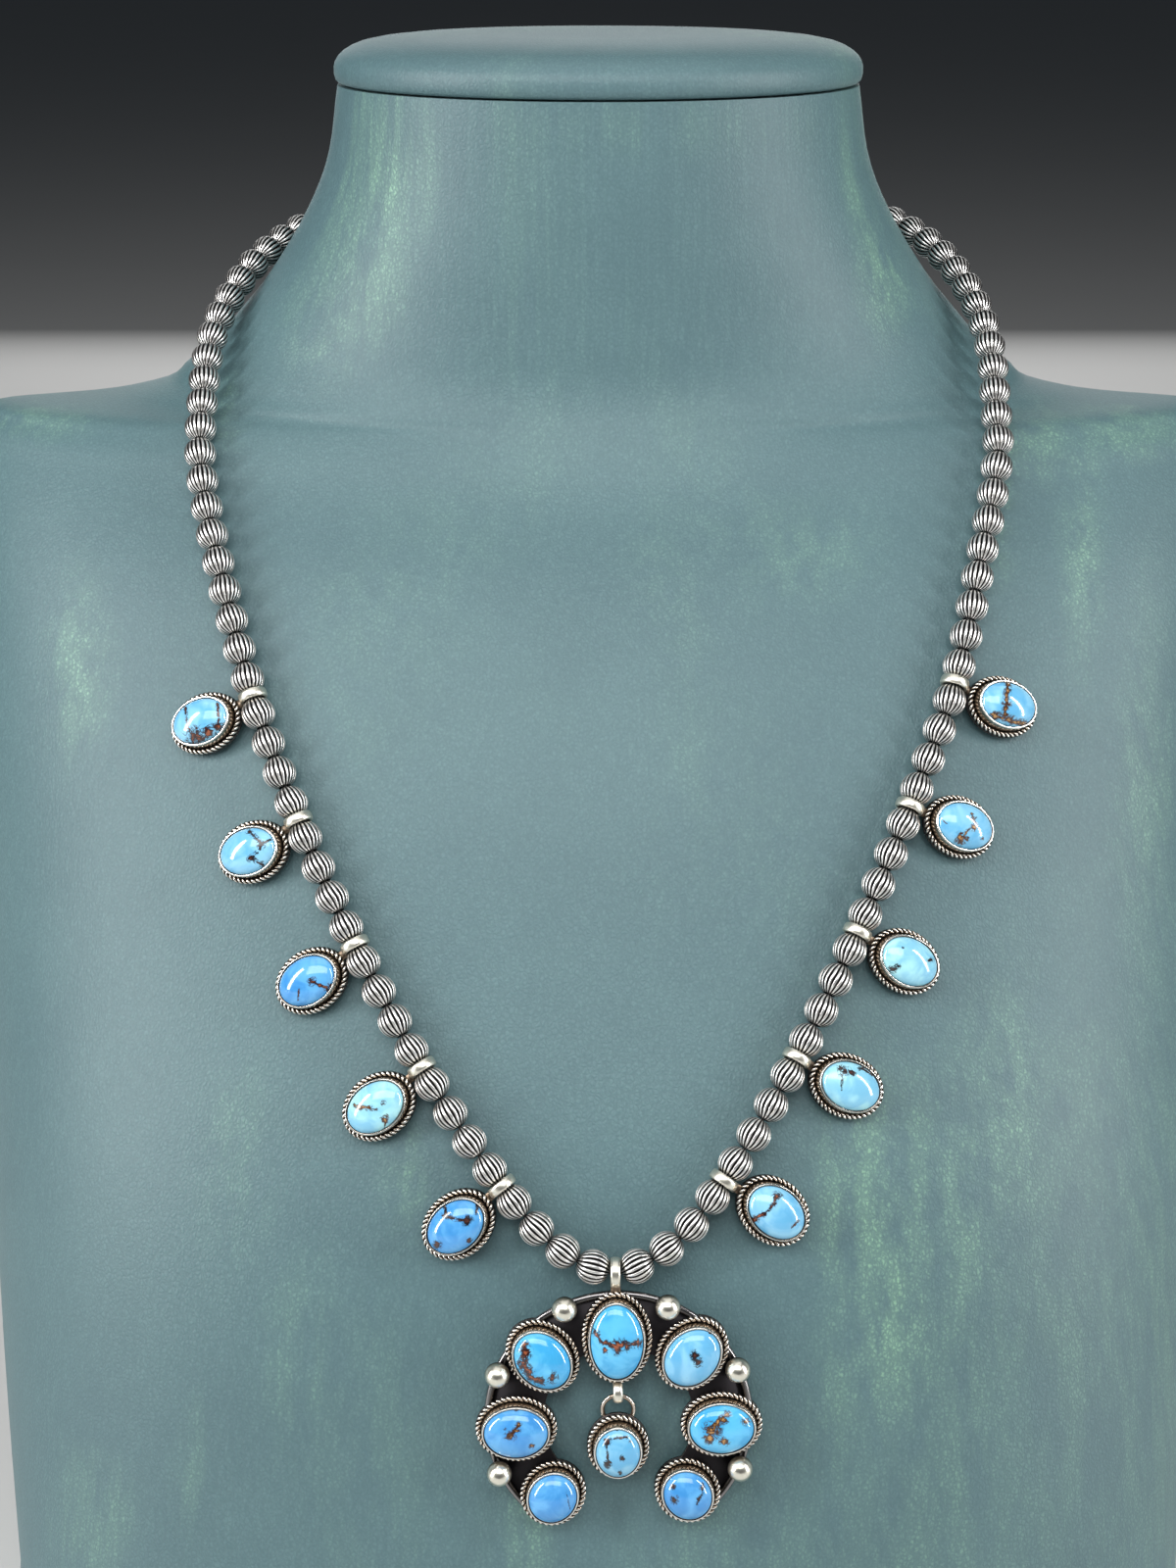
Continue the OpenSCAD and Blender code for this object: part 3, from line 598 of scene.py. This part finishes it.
def wire_ring(radius, wire, width, oxide, index):
    """A ring of wire round the Z axis, so thick and so wide along the axis."""
    sides, section = 40, 12
    a = np.arange(sides) * 2 * math.pi / sides
    b = np.arange(section) * 2 * math.pi / section
    r = radius + wire / 2 * np.cos(b)[None, :]
    z = width / 2 * np.sin(b)[None, :] + 0 * a[:, None]
    pts = np.stack([r * np.cos(a)[:, None], r * np.sin(a)[:, None], z], -1)
    shape = Shape()
    shape.grid(pts, oxide + 0.3 * (np.cos(b) < -0.3)[None, :] + 0 * a[:, None], along=True, index=index)
    return shape


def ball(radius):
    """A round ball, dark round its foot."""
    sides, rows = 32, 16
    lat = np.linspace(-math.pi / 2 + 0.12, math.pi / 2 - 0.04, rows)
    a = np.arange(sides) * 2 * math.pi / sides
    pts = np.stack([radius * np.cos(lat)[:, None] * np.cos(a), radius * np.cos(lat)[:, None] * np.sin(a),
                    radius * np.sin(lat)[:, None] + 0 * a], -1)
    shape = Shape()
    shape.grid(pts, np.clip(0.75 - 1.3 * np.sin(lat), 0, 1.2)[:, None] + 0 * a, index=SATIN)
    shape.lid(pts[-1], 0.0, index=SATIN, flip=True)
    return shape


UP = np.array([0, 0, 1.0])
stone_frames = {}
for side in ("left", "right"):
    for j in range(1, 6):
        node = f"drop_{side}_{j}"
        stone = f"drop_stone_{side}_{j}"
        middle = stone_frame(stone, UP)[0]
        points = points_of(node)
        far = points[np.argsort(-np.linalg.norm(points - middle, axis=1))[:60]].mean(0)
        foot, across, along, out, length, width = stone_frame(stone, far - middle)
        stone_frames[stone] = (foot, across, along, out, length, width)
        base = foot - (PLATE + STONE_GAP) * out
        half = length / 2 + RIM
        reach = half + BEAD_R + DROP_CLEARANCE
        near = sorted(bead_axes, key=lambda b: np.linalg.norm(b[0] - far))[:2]
        hang = (near[0][0] + near[1][0]) / 2 - base
        hang = unit(hang - (hang @ out) * out)
        bail_at = base + PLATE * out + reach * hang
        axis = near[0][0] - near[1][0]
        axis = unit(axis - (axis @ out) * out)
        piece = Shape()
        piece.add(setting(length, width), matrix(base, across, along, out))
        tab = bar(BAIL_WIDTH / 2 - 0.05, half - ROPE, reach - BAIL_MIDDLE, PLATE + 0.15, 0.1, 0.7)
        piece.add(tab, matrix(base, np.cross(hang, out), hang, out))
        piece.add(bail(), matrix(bail_at, axis, np.cross(out, axis), out))
        make(node + "_setting", piece, METALS, BODY[node], [node])

# Crescent pendant
hinge = np.array(frame["joints"][0]["pos_m"]) / MM
top_frame = stone_frame("naja_stone_top", UP)
_, naja_across, naja_along, naja_out, top_length, _ = top_frame
naja_matrix = matrix(hinge - NAJA_DEEP * naja_out, naja_across, naja_along, naja_out)
naja = Shape()
for key in ("top", "upper_left", "upper_right", "middle_left", "middle_right", "lower_left", "lower_right"):
    stone = "naja_stone_" + key
    foot, across, along, out, length, width = stone_frame(stone, UP)
    stone_frames[stone] = (foot, across, along, out, length, width)
    naja.add(setting(length, width), matrix(foot - (PLATE + STONE_GAP) * out, across, along, out))


def crescent():
    """The blackened plate and the bright wire along its outer edge."""
    shape = Shape()
    opening = math.radians(CRESCENT_OPENING)
    a = np.linspace(-math.pi / 2 + opening, 3 * math.pi / 2 - opening, 121)
    inner = CRESCENT_R - CRESCENT_BAND
    profile = [(CRESCENT_R - 0.2, 0.0), (CRESCENT_R - 0.2, PLATE), (inner + 0.12, PLATE),
               (inner, PLATE - 0.12), (inner, 0.12), (inner + 0.12, 0)]
    rows = [np.array([(r * math.cos(t), r * math.sin(t) - CRESCENT_DROP, z) for r, z in profile])
            for t in a]
    shape.grid(rows, [0.6, 0.9, 0.75, 0.3, 0.3, 0.6], index=BLACK)
    shape.lid(rows[0], 0.6, index=BLACK, flip=True)
    shape.lid(rows[-1], 0.6, index=BLACK)
    b = np.arange(14) * 2 * math.pi / 14
    wire = EDGE_WIRE / 2
    tube = [np.stack([(CRESCENT_R + wire * np.cos(b)) * math.cos(t),
                      (CRESCENT_R + wire * np.cos(b)) * math.sin(t) - CRESCENT_DROP,
                      wire + wire * np.sin(b)], -1) for t in a]
    shape.grid(tube, 0.1 + 0.6 * (np.cos(b) < -0.2), index=EDGE)
    shape.lid(tube[0], 0.3, index=EDGE, flip=True)
    shape.lid(tube[-1], 0.3, index=EDGE)
    return shape


naja.add(crescent(), naja_matrix)
for angle in BALL_ANGLES:
    for side in (-1, 1):
        x = side * CRESCENT_R * math.sin(math.radians(angle))
        y = CRESCENT_R * math.cos(math.radians(angle)) - CRESCENT_DROP
        naja.add(ball(BALL_D / 2), naja_matrix @ matrix((x, y, EDGE_WIRE + BALL_D * 0.3), *np.eye(3)))
top_half = top_length / 2 + RIM
top_down = (hinge - top_frame[0]) @ naja_along
naja.add(bail(), matrix(hinge, (1, 0, 0), np.cross(naja_out, (1, 0, 0)), naja_out))
naja.add(bar(BAIL_WIDTH / 2, top_half - top_down - ROPE, -BAIL_MIDDLE, PLATE + NAJA_DEEP, 0.15, 0.62),
         naja_matrix)
# The loop below the top setting, round the line across
loop_at = (0, -(top_down + top_half + LOOP_D / 2 - LINK_WIRE / 4), PLATE + LINK_WIRE)
loop_matrix = matrix(loop_at, (0, 0, -1), (0, 1, 0), (1, 0, 0))
naja.add(wire_ring(LOOP_D / 2, LINK_WIRE, LOOP_WIDTH, 0.25, BAIL), naja_matrix @ loop_matrix)
make("naja_crescent", naja, METALS, BODY["naja"], ["naja"])

# Small drop in the opening
foot, across, along, out, length, width = stone_frame("dangle_stone", UP)
stone_frames["dangle_stone"] = (foot, across, along, out, length, width)
dangle_matrix = matrix(foot - (PLATE + STONE_GAP) * out, across, along, out)
dangle = Shape()
dangle.add(setting(length, width), dangle_matrix)
ring_matrix = matrix((0, length / 2 + RIM - RING_OVERLAP + RING_D / 2, 0), *np.eye(3))
dangle.add(wire_ring(RING_D / 2, LINK_WIRE, LINK_WIRE, 0.4, ANTIQUE), dangle_matrix @ ring_matrix)
make("dangle_setting", dangle, METALS, BODY["dangle"], ["dangle"])

# Marks in the stones, charted. x and y are shares of the stone's half-size as it is seen
# from the front, y upwards. A patch is [x, y, size]; a vein is a run of [x, y] with a width.
DARK = ((0.012, 0.009, 0.011), (0.09, 0.03, 0.02))
RED = ((0.024, 0.008, 0.008), (0.3, 0.085, 0.035))
TAN = ((0.05, 0.02, 0.01), (0.46, 0.24, 0.08))
SKY = ((0.05, 0.36, 0.68), (0.12, 0.5, 0.8))
SOFT = ((0.13, 0.42, 0.68), (0.26, 0.57, 0.78))
DEEP = ((0.055, 0.27, 0.62), (0.12, 0.4, 0.74))
PALE = ((0.2, 0.5, 0.7), (0.38, 0.72, 0.78))
MARKS = {
    "drop_stone_left_1": (SOFT, RED, [(-.25, -.6, .36), (.15, -.42, .24), (.5, -.25, .22)],
                          [(.05, [(-.57, .65), (-.52, -.2), (-.3, -.5)]),
                           (.05, [(.5, .75), (.52, .1), (.45, -.2)])]),
    "drop_stone_left_2": (SOFT, DARK, [(.35, .25, .12), (0, -.28, .13), (.35, -.55, .1), (-.02, .85, .1)],
                          [(.07, [(-.02, .88), (.35, .33), (.3, .05), (0, -.28), (.35, -.6)]),
                           (.05, [(.35, .33), (.78, .5)])]),
    "drop_stone_left_3": (DEEP, RED, [(.1, -.03, .15), (.68, -.33, .15), (.35, -.2, .08)],
                          [(.06, [(.1, -.03), (.35, -.2), (.7, -.35)]), (.03, [(-.35, -.3), (-.4, -.75)])]),
    "drop_stone_left_4": (PALE, TAN, [(-.6, .02, .12), (-.3, -.02, .1), (.2, .13, .08), (.22, -.5, .12)],
                          [(.06, [(-.75, .1), (-.35, -.02), (-.05, -.12)]), (.05, [(.3, -.35), (.22, -.8)])]),
    "drop_stone_left_5": (DEEP, DARK, [(-.35, .35, .14), (.35, .15, .16), (-.68, -.68, .13), (.4, -.55, .1)],
                          [(.06, [(-.4, .75), (-.35, .35), (0, .2), (.4, .17)]),
                           (.05, [(.7, .75), (.65, .4)])]),
    "drop_stone_right_1": (SOFT, TAN, [(.05, .1, .14), (-.3, -.45, .17), (.2, -.6, .17), (.6, -.7, .15)],
                           [(.1, [(.05, .95), (.03, .3), (.02, -.4)]),
                            (.1, [(-.4, -.4), (.1, -.6), (.6, -.75)])]),
    "drop_stone_right_2": (SOFT, TAN, [(.03, -.5, .22), (.42, 0, .13), (.35, .4, .1), (.7, -.45, .06)],
                           [(.05, [(.3, .6), (.45, .1), (.2, -.15), (.03, -.5)]),
                            (.03, [(-.6, .2), (-.5, .1)])]),
    "drop_stone_right_3": (PALE, DARK, [(-.45, -.33, .13), (-.3, -.22, .09), (.78, .12, .09),
                                        (-.15, .55, .04)], []),
    "drop_stone_right_4": (PALE, DARK, [(-.28, .68, .13), (-.12, .55, .18), (.08, .55, .12), (.4, .75, .1)],
                           [(.03, [(-.2, .45), (-.22, -.2)]), (.04, [(.4, .75), (.75, .5)])]),
    "drop_stone_right_5": (SOFT, RED, [(.07, .55, .15), (-.02, .25, .08), (-.35, -.1, .1), (-.65, -.32, .12)],
                           [(.06, [(.07, .65), (-.05, .25), (-.3, -.05), (-.68, -.32)]),
                            (.04, [(.6, -.55), (.8, -.3)])]),
    "naja_stone_top": (SKY, RED, [(-.75, .12, .1), (0, -.18, .17), (.35, -.14, .14), (.8, -.1, .1),
                                  (-.45, -.28, .1)],
                       [(.08, [(-.85, .2), (-.55, -.08), (0, -.17), (.9, -.1)]),
                        (.04, [(.3, .88), (.75, .62)])]),
    "naja_stone_upper_left": (SKY, RED, [(-.6, .2, .2), (-.68, -.15, .2), (-.5, -.45, .18), (-.2, -.72, .12),
                                         (.35, -.62, .16)],
                              [(.12, [(-.6, .45), (-.7, -.1), (-.45, -.6), (0, -.75)])]),
    "naja_stone_upper_right": (SOFT, DARK, [(.12, -.02, .15), (.22, -.22, .14), (.6, .72, .06)], []),
    "naja_stone_middle_left": (DEEP, TAN, [(-.18, -.2, .15), (.02, .0, .1), (.1, .2, .06), (.05, .8, .08),
                                          (.48, -.58, .08), (-.35, .05, .05)],
                               [(.07, [(-.2, -.25), (.1, .25)])]),
    "naja_stone_middle_right": (SKY, TAN, [(-.3, -.15, .25), (-.35, -.45, .18), (.05, .25, .14),
                                           (.15, .45, .12), (.1, -.55, .14), (.75, .2, .12)],
                                [(.1, [(-.35, -.4), (-.15, .1), (.15, .45)])]),
    "naja_stone_lower_left": (DEEP, DARK, [], [(.02, [(.55, .1), (.7, -.5)])]),
    "naja_stone_lower_right": (DEEP, DARK, [(-.6, .22, .1), (-.52, -.28, .14), (.6, .2, .1),
                                            (.45, -.25, .08)],
                               [(.05, [(.62, .35), (.6, .0), (.4, -.4)])]),
    "dangle_stone": (SOFT, DARK, [(-.5, .3, .15), (-.45, -.5, .15), (.2, -.32, .1), (-.05, .75, .08),
                                  (.1, -.85, .08), (.55, .3, .06)],
                     [(.05, [(-.6, .35), (-.1, .42), (.4, .45)]), (.05, [(-.5, .2), (-.45, -.5)])]),
}


def field_of(x, y, patches, veins):
    """Strength of the marks at points of a stone: 1 in the middle of one, 0 well away."""
    value = np.zeros(x.shape)
    for px, py, size in patches:
        value = np.maximum(value, 1.15 - 0.6 * np.hypot(x - px, y - py) / size)
    for size, run in veins:
        for (ax, ay), (bx, by) in zip(run[:-1], run[1:]):
            dx, dy = bx - ax, by - ay
            t = np.clip(((x - ax) * dx + (y - ay) * dy) / (dx * dx + dy * dy), 0, 1)
            value = np.maximum(value, 1.0 - 0.5 * np.hypot(x - ax - t * dx, y - ay - t * dy) / size)
    return np.clip(value, 0, 1.2)


def cabochon(length, width):
    """The stone's form on the girdle's foot: rows from the girdle to the top of the dome."""
    sides = 120
    a = np.arange(sides) * 2 * math.pi / sides
    rows = [(0.985, 0.0), (1.0, 0.12), (1.0, GIRDLE)]
    for t in np.linspace(0, math.pi / 2, 30)[1:-1]:
        rows.append((math.cos(t), GIRDLE + (STONE_HEIGHT - GIRDLE) * math.sin(t)))
    return np.array([np.stack([width / 2 * r * np.sin(-a), length / 2 * r * np.cos(a), np.full(sides, z)], -1)
                     for r, z in rows])


def centred(values):
    """Values moved and scaled so that they run from -1 to 1."""
    return (values - (values.max() + values.min()) / 2) / (np.ptp(values) / 2)


# The camera's place, its tilt from straight down in degrees, lens and frame
CAMERA = np.array([-2.0, -415.26, 343.11])
CAMERA_TILT = 69.5
LENS = 56.25
SENSOR_HEIGHT = 36
VIEW = (1200, 1600)
for name, (foot, across, along, out, length, width) in stone_frames.items():
    tones, tints, patches, veins = MARKS[name]
    pts = cabochon(length, width)
    pts = pts @ np.stack([across, along, out]) + foot
    shape = Shape()
    shape.grid(pts)
    shape.lid(pts[-1], flip=True)
    corners = shape.arrays()[0] - foot
    toward = unit(CAMERA - foot)
    right = unit(np.cross((0, 0, 1.0), toward))
    upward = unit(np.cross(toward, right))
    mark = field_of(centred(corners @ right), centred(corners @ upward), patches, veins)
    look = turquoise(name + "_turquoise", tones[0], tones[1], tints[0], tints[1])
    make(name + "_polished", shape, [look], BODY[name], [name], extra={"mark": mark})


# Smooth skin of the bust, on the CAD source's own levels, a little softer at the neck's foot
BUST_HEIGHT = 304.0
SHOULDERS = 246.0
BASE_DEPTH = 150.0
NECK_WIDTH = 101.0
NECK_DEPTH = 84.0
SETBACK = 78.0
NECK_FRONT = SETBACK - NECK_DEPTH / 2
NECK_BACK = SETBACK + NECK_DEPTH / 2
CAP_THICK = 9.0
CAP_GROW = 0.6
CAP_SEAM = 0.3
# Height as a share of the bust's, shares of the spread from the neck to the shoulders, the front, the
# widest line and the back, how square the outline is, and how much it falls towards the back
LEVELS = np.array([
    (0, 0.86, 0.985, 1, 0.98, 2.5, 0), (0.012, 0.885, 1, 1, 1, 2.5, 0),
    (0.1, 0.9, 0.945, 0.95, 0.96, 2.5, 0), (0.25, 0.93, 0.87, 0.82, 0.84, 2.4, 0),
    (0.4, 0.96, 0.76, 0.62, 0.7, 2.3, 0),
    (0.53, 0.985, 0.567, 0.44, 0.54, 2.2, 0), (0.66, 1, 0.351, 0.31, 0.36, 2.2, 0.02),
    (0.73, 1, 0.203, 0.23, 0.24, 2.2, 0.09), (0.775, 0.995, 0.085, 0.15, 0.17, 2.1, 0.19),
    (0.795, 0.98, 0.05, 0.11, 0.14, 1.9, 0.24), (0.803, 0.92, 0.039, 0.09, 0.12, 1.8, 0.25),
    (0.807, 0.69, 0.034, 0.08, 0.11, 1.9, 0.25), (0.813, 0.53, 0.026, 0.07, 0.1, 2.1, 0.23),
    (0.826, 0.43, 0.014, 0.05, 0.05, 2.1, 0.18), (0.862, 0.27, 0.003, 0.01, 0.02, 2, 0.11),
    (0.904, 0.138, 0, 0, 0, 2, 0.06), (0.95, 0.04, 0, 0, 0, 2, 0.02), (1, 0, 0, 0, 0, 2, 0)])
# Rows of corners from each level to the next
STEPS = (2, 2, 4, 5, 6, 6, 5, 5, 5, 4, 4, 4, 5, 6, 6, 5, 5)


def smooth_rows(table, steps):
    """Rows between the rows of a table, on a cubic through every row."""
    h = table[:, 0]
    v = table[:, 1:]
    d = np.diff(v, axis=0) / np.diff(h)[:, None]
    w = np.diff(h)[:, None]
    slopes = np.vstack([d[:1], (w[1:] * d[:-1] + w[:-1] * d[1:]) / (w[1:] + w[:-1]), d[-1:]])
    rows = []
    for i, count in enumerate(steps):
        for k in range(count):
            u = k / count
            gap = h[i + 1] - h[i]
            row = ((2 * u**3 - 3 * u**2 + 1) * v[i] + (u**3 - 2 * u**2 + u) * gap * slopes[i]
                   + (3 * u**2 - 2 * u**3) * v[i + 1] + (u**3 - u**2) * gap * slopes[i + 1])
            rows.append(np.concatenate([[h[i] + u * gap], row]))
    rows.append(table[-1])
    return np.array(rows)


def outline(half, front, widest, back, square, fall, height):
    """One closed outline of the bust: half its width, and where its front, widest line and back lie."""
    sides = 192
    a = np.arange(sides) * 2 * math.pi / sides
    s, c = np.sin(a), np.cos(a)
    e = 2 / square
    y = widest + (np.where(c >= 0, front, back) - widest) * np.abs(c) ** e
    x = np.sign(s) * half * np.abs(s) ** e
    return np.stack([x, y, height - fall * np.maximum(0, y - widest)], -1)


def lofted(rings):
    """A closed skin through rings, from the lowest to the highest."""
    shape = Shape()
    shape.grid(rings)
    shape.lid(rings[0])
    shape.lid(rings[-1], flip=True)
    return shape


def bust():
    rings = []
    for h, spread, front, side, back, square, fall in smooth_rows(LEVELS, STEPS):
        rings.append(outline((NECK_WIDTH + (SHOULDERS - NECK_WIDTH) * spread) / 2,
                             NECK_FRONT + (-BASE_DEPTH / 2 - NECK_FRONT) * front, SETBACK - SETBACK * side,
                             NECK_BACK + (BASE_DEPTH / 2 - NECK_BACK) * back, square, fall, h * BUST_HEIGHT))
    return lofted(rings)


def cap():
    """The padded cap: rows of [height, inset] as shares of its thickness."""
    rows = [(0, 0.16), (0.02, 0.09), (0.08, 0.03), (0.2, 0.0), (0.34, 0), (0.45, 0.03), (0.56, 0.1),
            (0.66, 0.21), (0.76, 0.38), (0.84, 0.6), (0.91, 0.95), (0.96, 1.4), (0.985, 1.9), (1, 2.6)]
    rings = []
    for height, inset in rows:
        grow = CAP_GROW - inset * CAP_THICK
        rings.append(outline(NECK_WIDTH / 2 + grow, NECK_FRONT - grow, SETBACK, NECK_BACK + grow, 2.0, 0,
                             BUST_HEIGHT + CAP_SEAM + height * CAP_THICK))
    return lofted(rings)


# Pale brush marks on the leather, charted as the camera sees them in its view; the ovals at (40, 425)
# and (1150, 440) are a painted highlight along the shoulders' top edges. A soft oval is
# [x, y, half-width, half-height, strength]
BRUSH_AND_HIGHLIGHT = [
    (395, 170, 45, 90, 0.9), (370, 260, 45, 90, 0.8), (330, 330, 40, 60, 0.5), (885, 170, 25, 70, 0.9),
    (905, 260, 30, 80, 1.0), (700, 130, 160, 30, 0.25), (880, 1230, 45, 130, 1.0), (905, 1340, 40, 110, 1.0),
    (850, 1420, 25, 60, 0.6), (985, 1230, 14, 150, 0.6), (940, 1200, 12, 120, 0.5), (80, 680, 32, 90, 0.7),
    (40, 425, 60, 25, 0.5), (1150, 440, 60, 30, 0.7), (1020, 500, 14, 90, 0.8), (1105, 560, 20, 120, 0.7),
    (1060, 450, 30, 40, 0.7), (540, 1560, 25, 60, 0.9), (300, 1380, 35, 90, 0.35), (95, 1550, 40, 60, 0.6),
    (195, 1490, 12, 60, 0.5), (1030, 1100, 25, 140, 0.4), (1170, 800, 30, 200, 0.4), (230, 420, 12, 40, 0.5),
    (840, 560, 60, 50, 0.3), (240, 1180, 40, 120, 0.3), (415, 1205, 25, 50, 0.7)]
# The marks end behind this line, out of the camera's sight
BRUSH_AND_HIGHLIGHT_END = 60


def seen_from_front(points):
    """Where the camera sees points in its view."""
    tilt = math.radians(90 - CAMERA_TILT)
    away = np.array([0, math.cos(tilt), -math.sin(tilt)])
    upward = np.array([0, math.sin(tilt), math.cos(tilt)])
    focal = VIEW[1] * LENS / SENSOR_HEIGHT
    p = points - CAMERA
    depth = np.maximum(p @ away, 1.0)
    return VIEW[0] / 2 + focal * p[:, 0] / depth, VIEW[1] / 2 - focal * (p @ upward) / depth


def brush_and_highlight_strength(points):
    """Strength of the brush marks, and of the painted highlight on the shoulders' top edges, at points."""
    x, y = seen_from_front(points)
    value = np.zeros(len(points))
    for bx, by, rx, ry, strength in BRUSH_AND_HIGHLIGHT:
        r = np.hypot((x - bx) / rx, (y - by) / ry)
        value = np.maximum(value, strength * np.clip(1.35 - r, 0, 1))
    return np.where(points[:, 1] < BRUSH_AND_HIGHLIGHT_END, value, 0)


skin = bust()
# Brush marks and the painted highlight on the shoulders' top edges, as a paint value on the skin
brush_and_highlight = brush_and_highlight_strength(skin.arrays()[0])
LEATHER = leather_cloth()
make("bust_skin", skin, [LEATHER], BODY["bust_body"], ["bust_body"], extra={"brush_and_highlight": brush_and_highlight})
pad = make("cap_skin", cap(), [LEATHER], BODY["neck_cap"], ["neck_cap"])


# Floor, light and camera
mesh = bpy.data.meshes.new("floor")
mesh.from_pydata([(-12, -12, 0), (12, -12, 0), (12, 12, 0), (-12, 12, 0)], [], [(0, 1, 2, 3)])
mesh.materials.append(mottled("floor_paper", (0.62, 0.62, 0.61), (0.6014, 0.6014, 0.5917), 6, 0.9))
floor = bpy.data.objects.new("floor", mesh)
bpy.context.scene.collection.objects.link(floor)


def area_light(name, at, aim, size, power):
    """A soft box at a place, aimed at another, in metres and watts."""
    light = bpy.data.lights.new(name, "AREA")
    light.shape = "RECTANGLE"
    light.size, light.size_y = size
    light.energy = power
    lamp = bpy.data.objects.new(name, light)
    bpy.context.scene.collection.objects.link(lamp)
    lamp.location = at
    z = -unit(np.array(aim) - np.array(at))
    x = unit(np.cross((0, 0, 1) if abs(z[2]) < 0.95 else (0, 1, 0), z))
    y = np.cross(z, x)
    lamp.rotation_euler = Matrix(np.stack([x, y, z]).T.tolist()).to_euler()


area_light("left_box", (-1.0, -0.45, 0.55), (0, -0.04, 0.17), (0.16, 1.0), 13)
area_light("right_box", (1.0, -0.4, 0.45), (0, -0.04, 0.17), (0.09, 1.1), 10.8)
area_light("over_box", (-0.05, -0.4, 0.62), (0, 0, 0.2), (0.7, 0.3), 3.1)
area_light("top_box", (0, 0.1, 1.3), (0, 0, 0.2), (1.2, 0.9), 3.2)
area_light("back_box", (0, 1.4, 0.5), (0, 0.1, 0.15), (1.2, 0.8), 5)
world = bpy.data.worlds.new("studio")
bpy.context.scene.world = world
world.use_nodes = True
world.node_tree.nodes["Background"].inputs[0].default_value = (0.75, 0.87, 1.0, 1)
world.node_tree.nodes["Background"].inputs[1].default_value = 0.03
bpy.context.scene.view_settings.view_transform = "Standard"

camera = bpy.data.cameras.new("camera")
camera.sensor_fit = "VERTICAL"
camera.sensor_height = SENSOR_HEIGHT
camera.lens = LENS
camera.clip_start = 0.01
camera.clip_end = 60
seat = bpy.data.objects.new("camera", camera)
bpy.context.scene.collection.objects.link(seat)
seat.location = CAMERA * MM
seat.rotation_euler = (math.radians(CAMERA_TILT), 0, 0)
bpy.context.scene.camera = seat
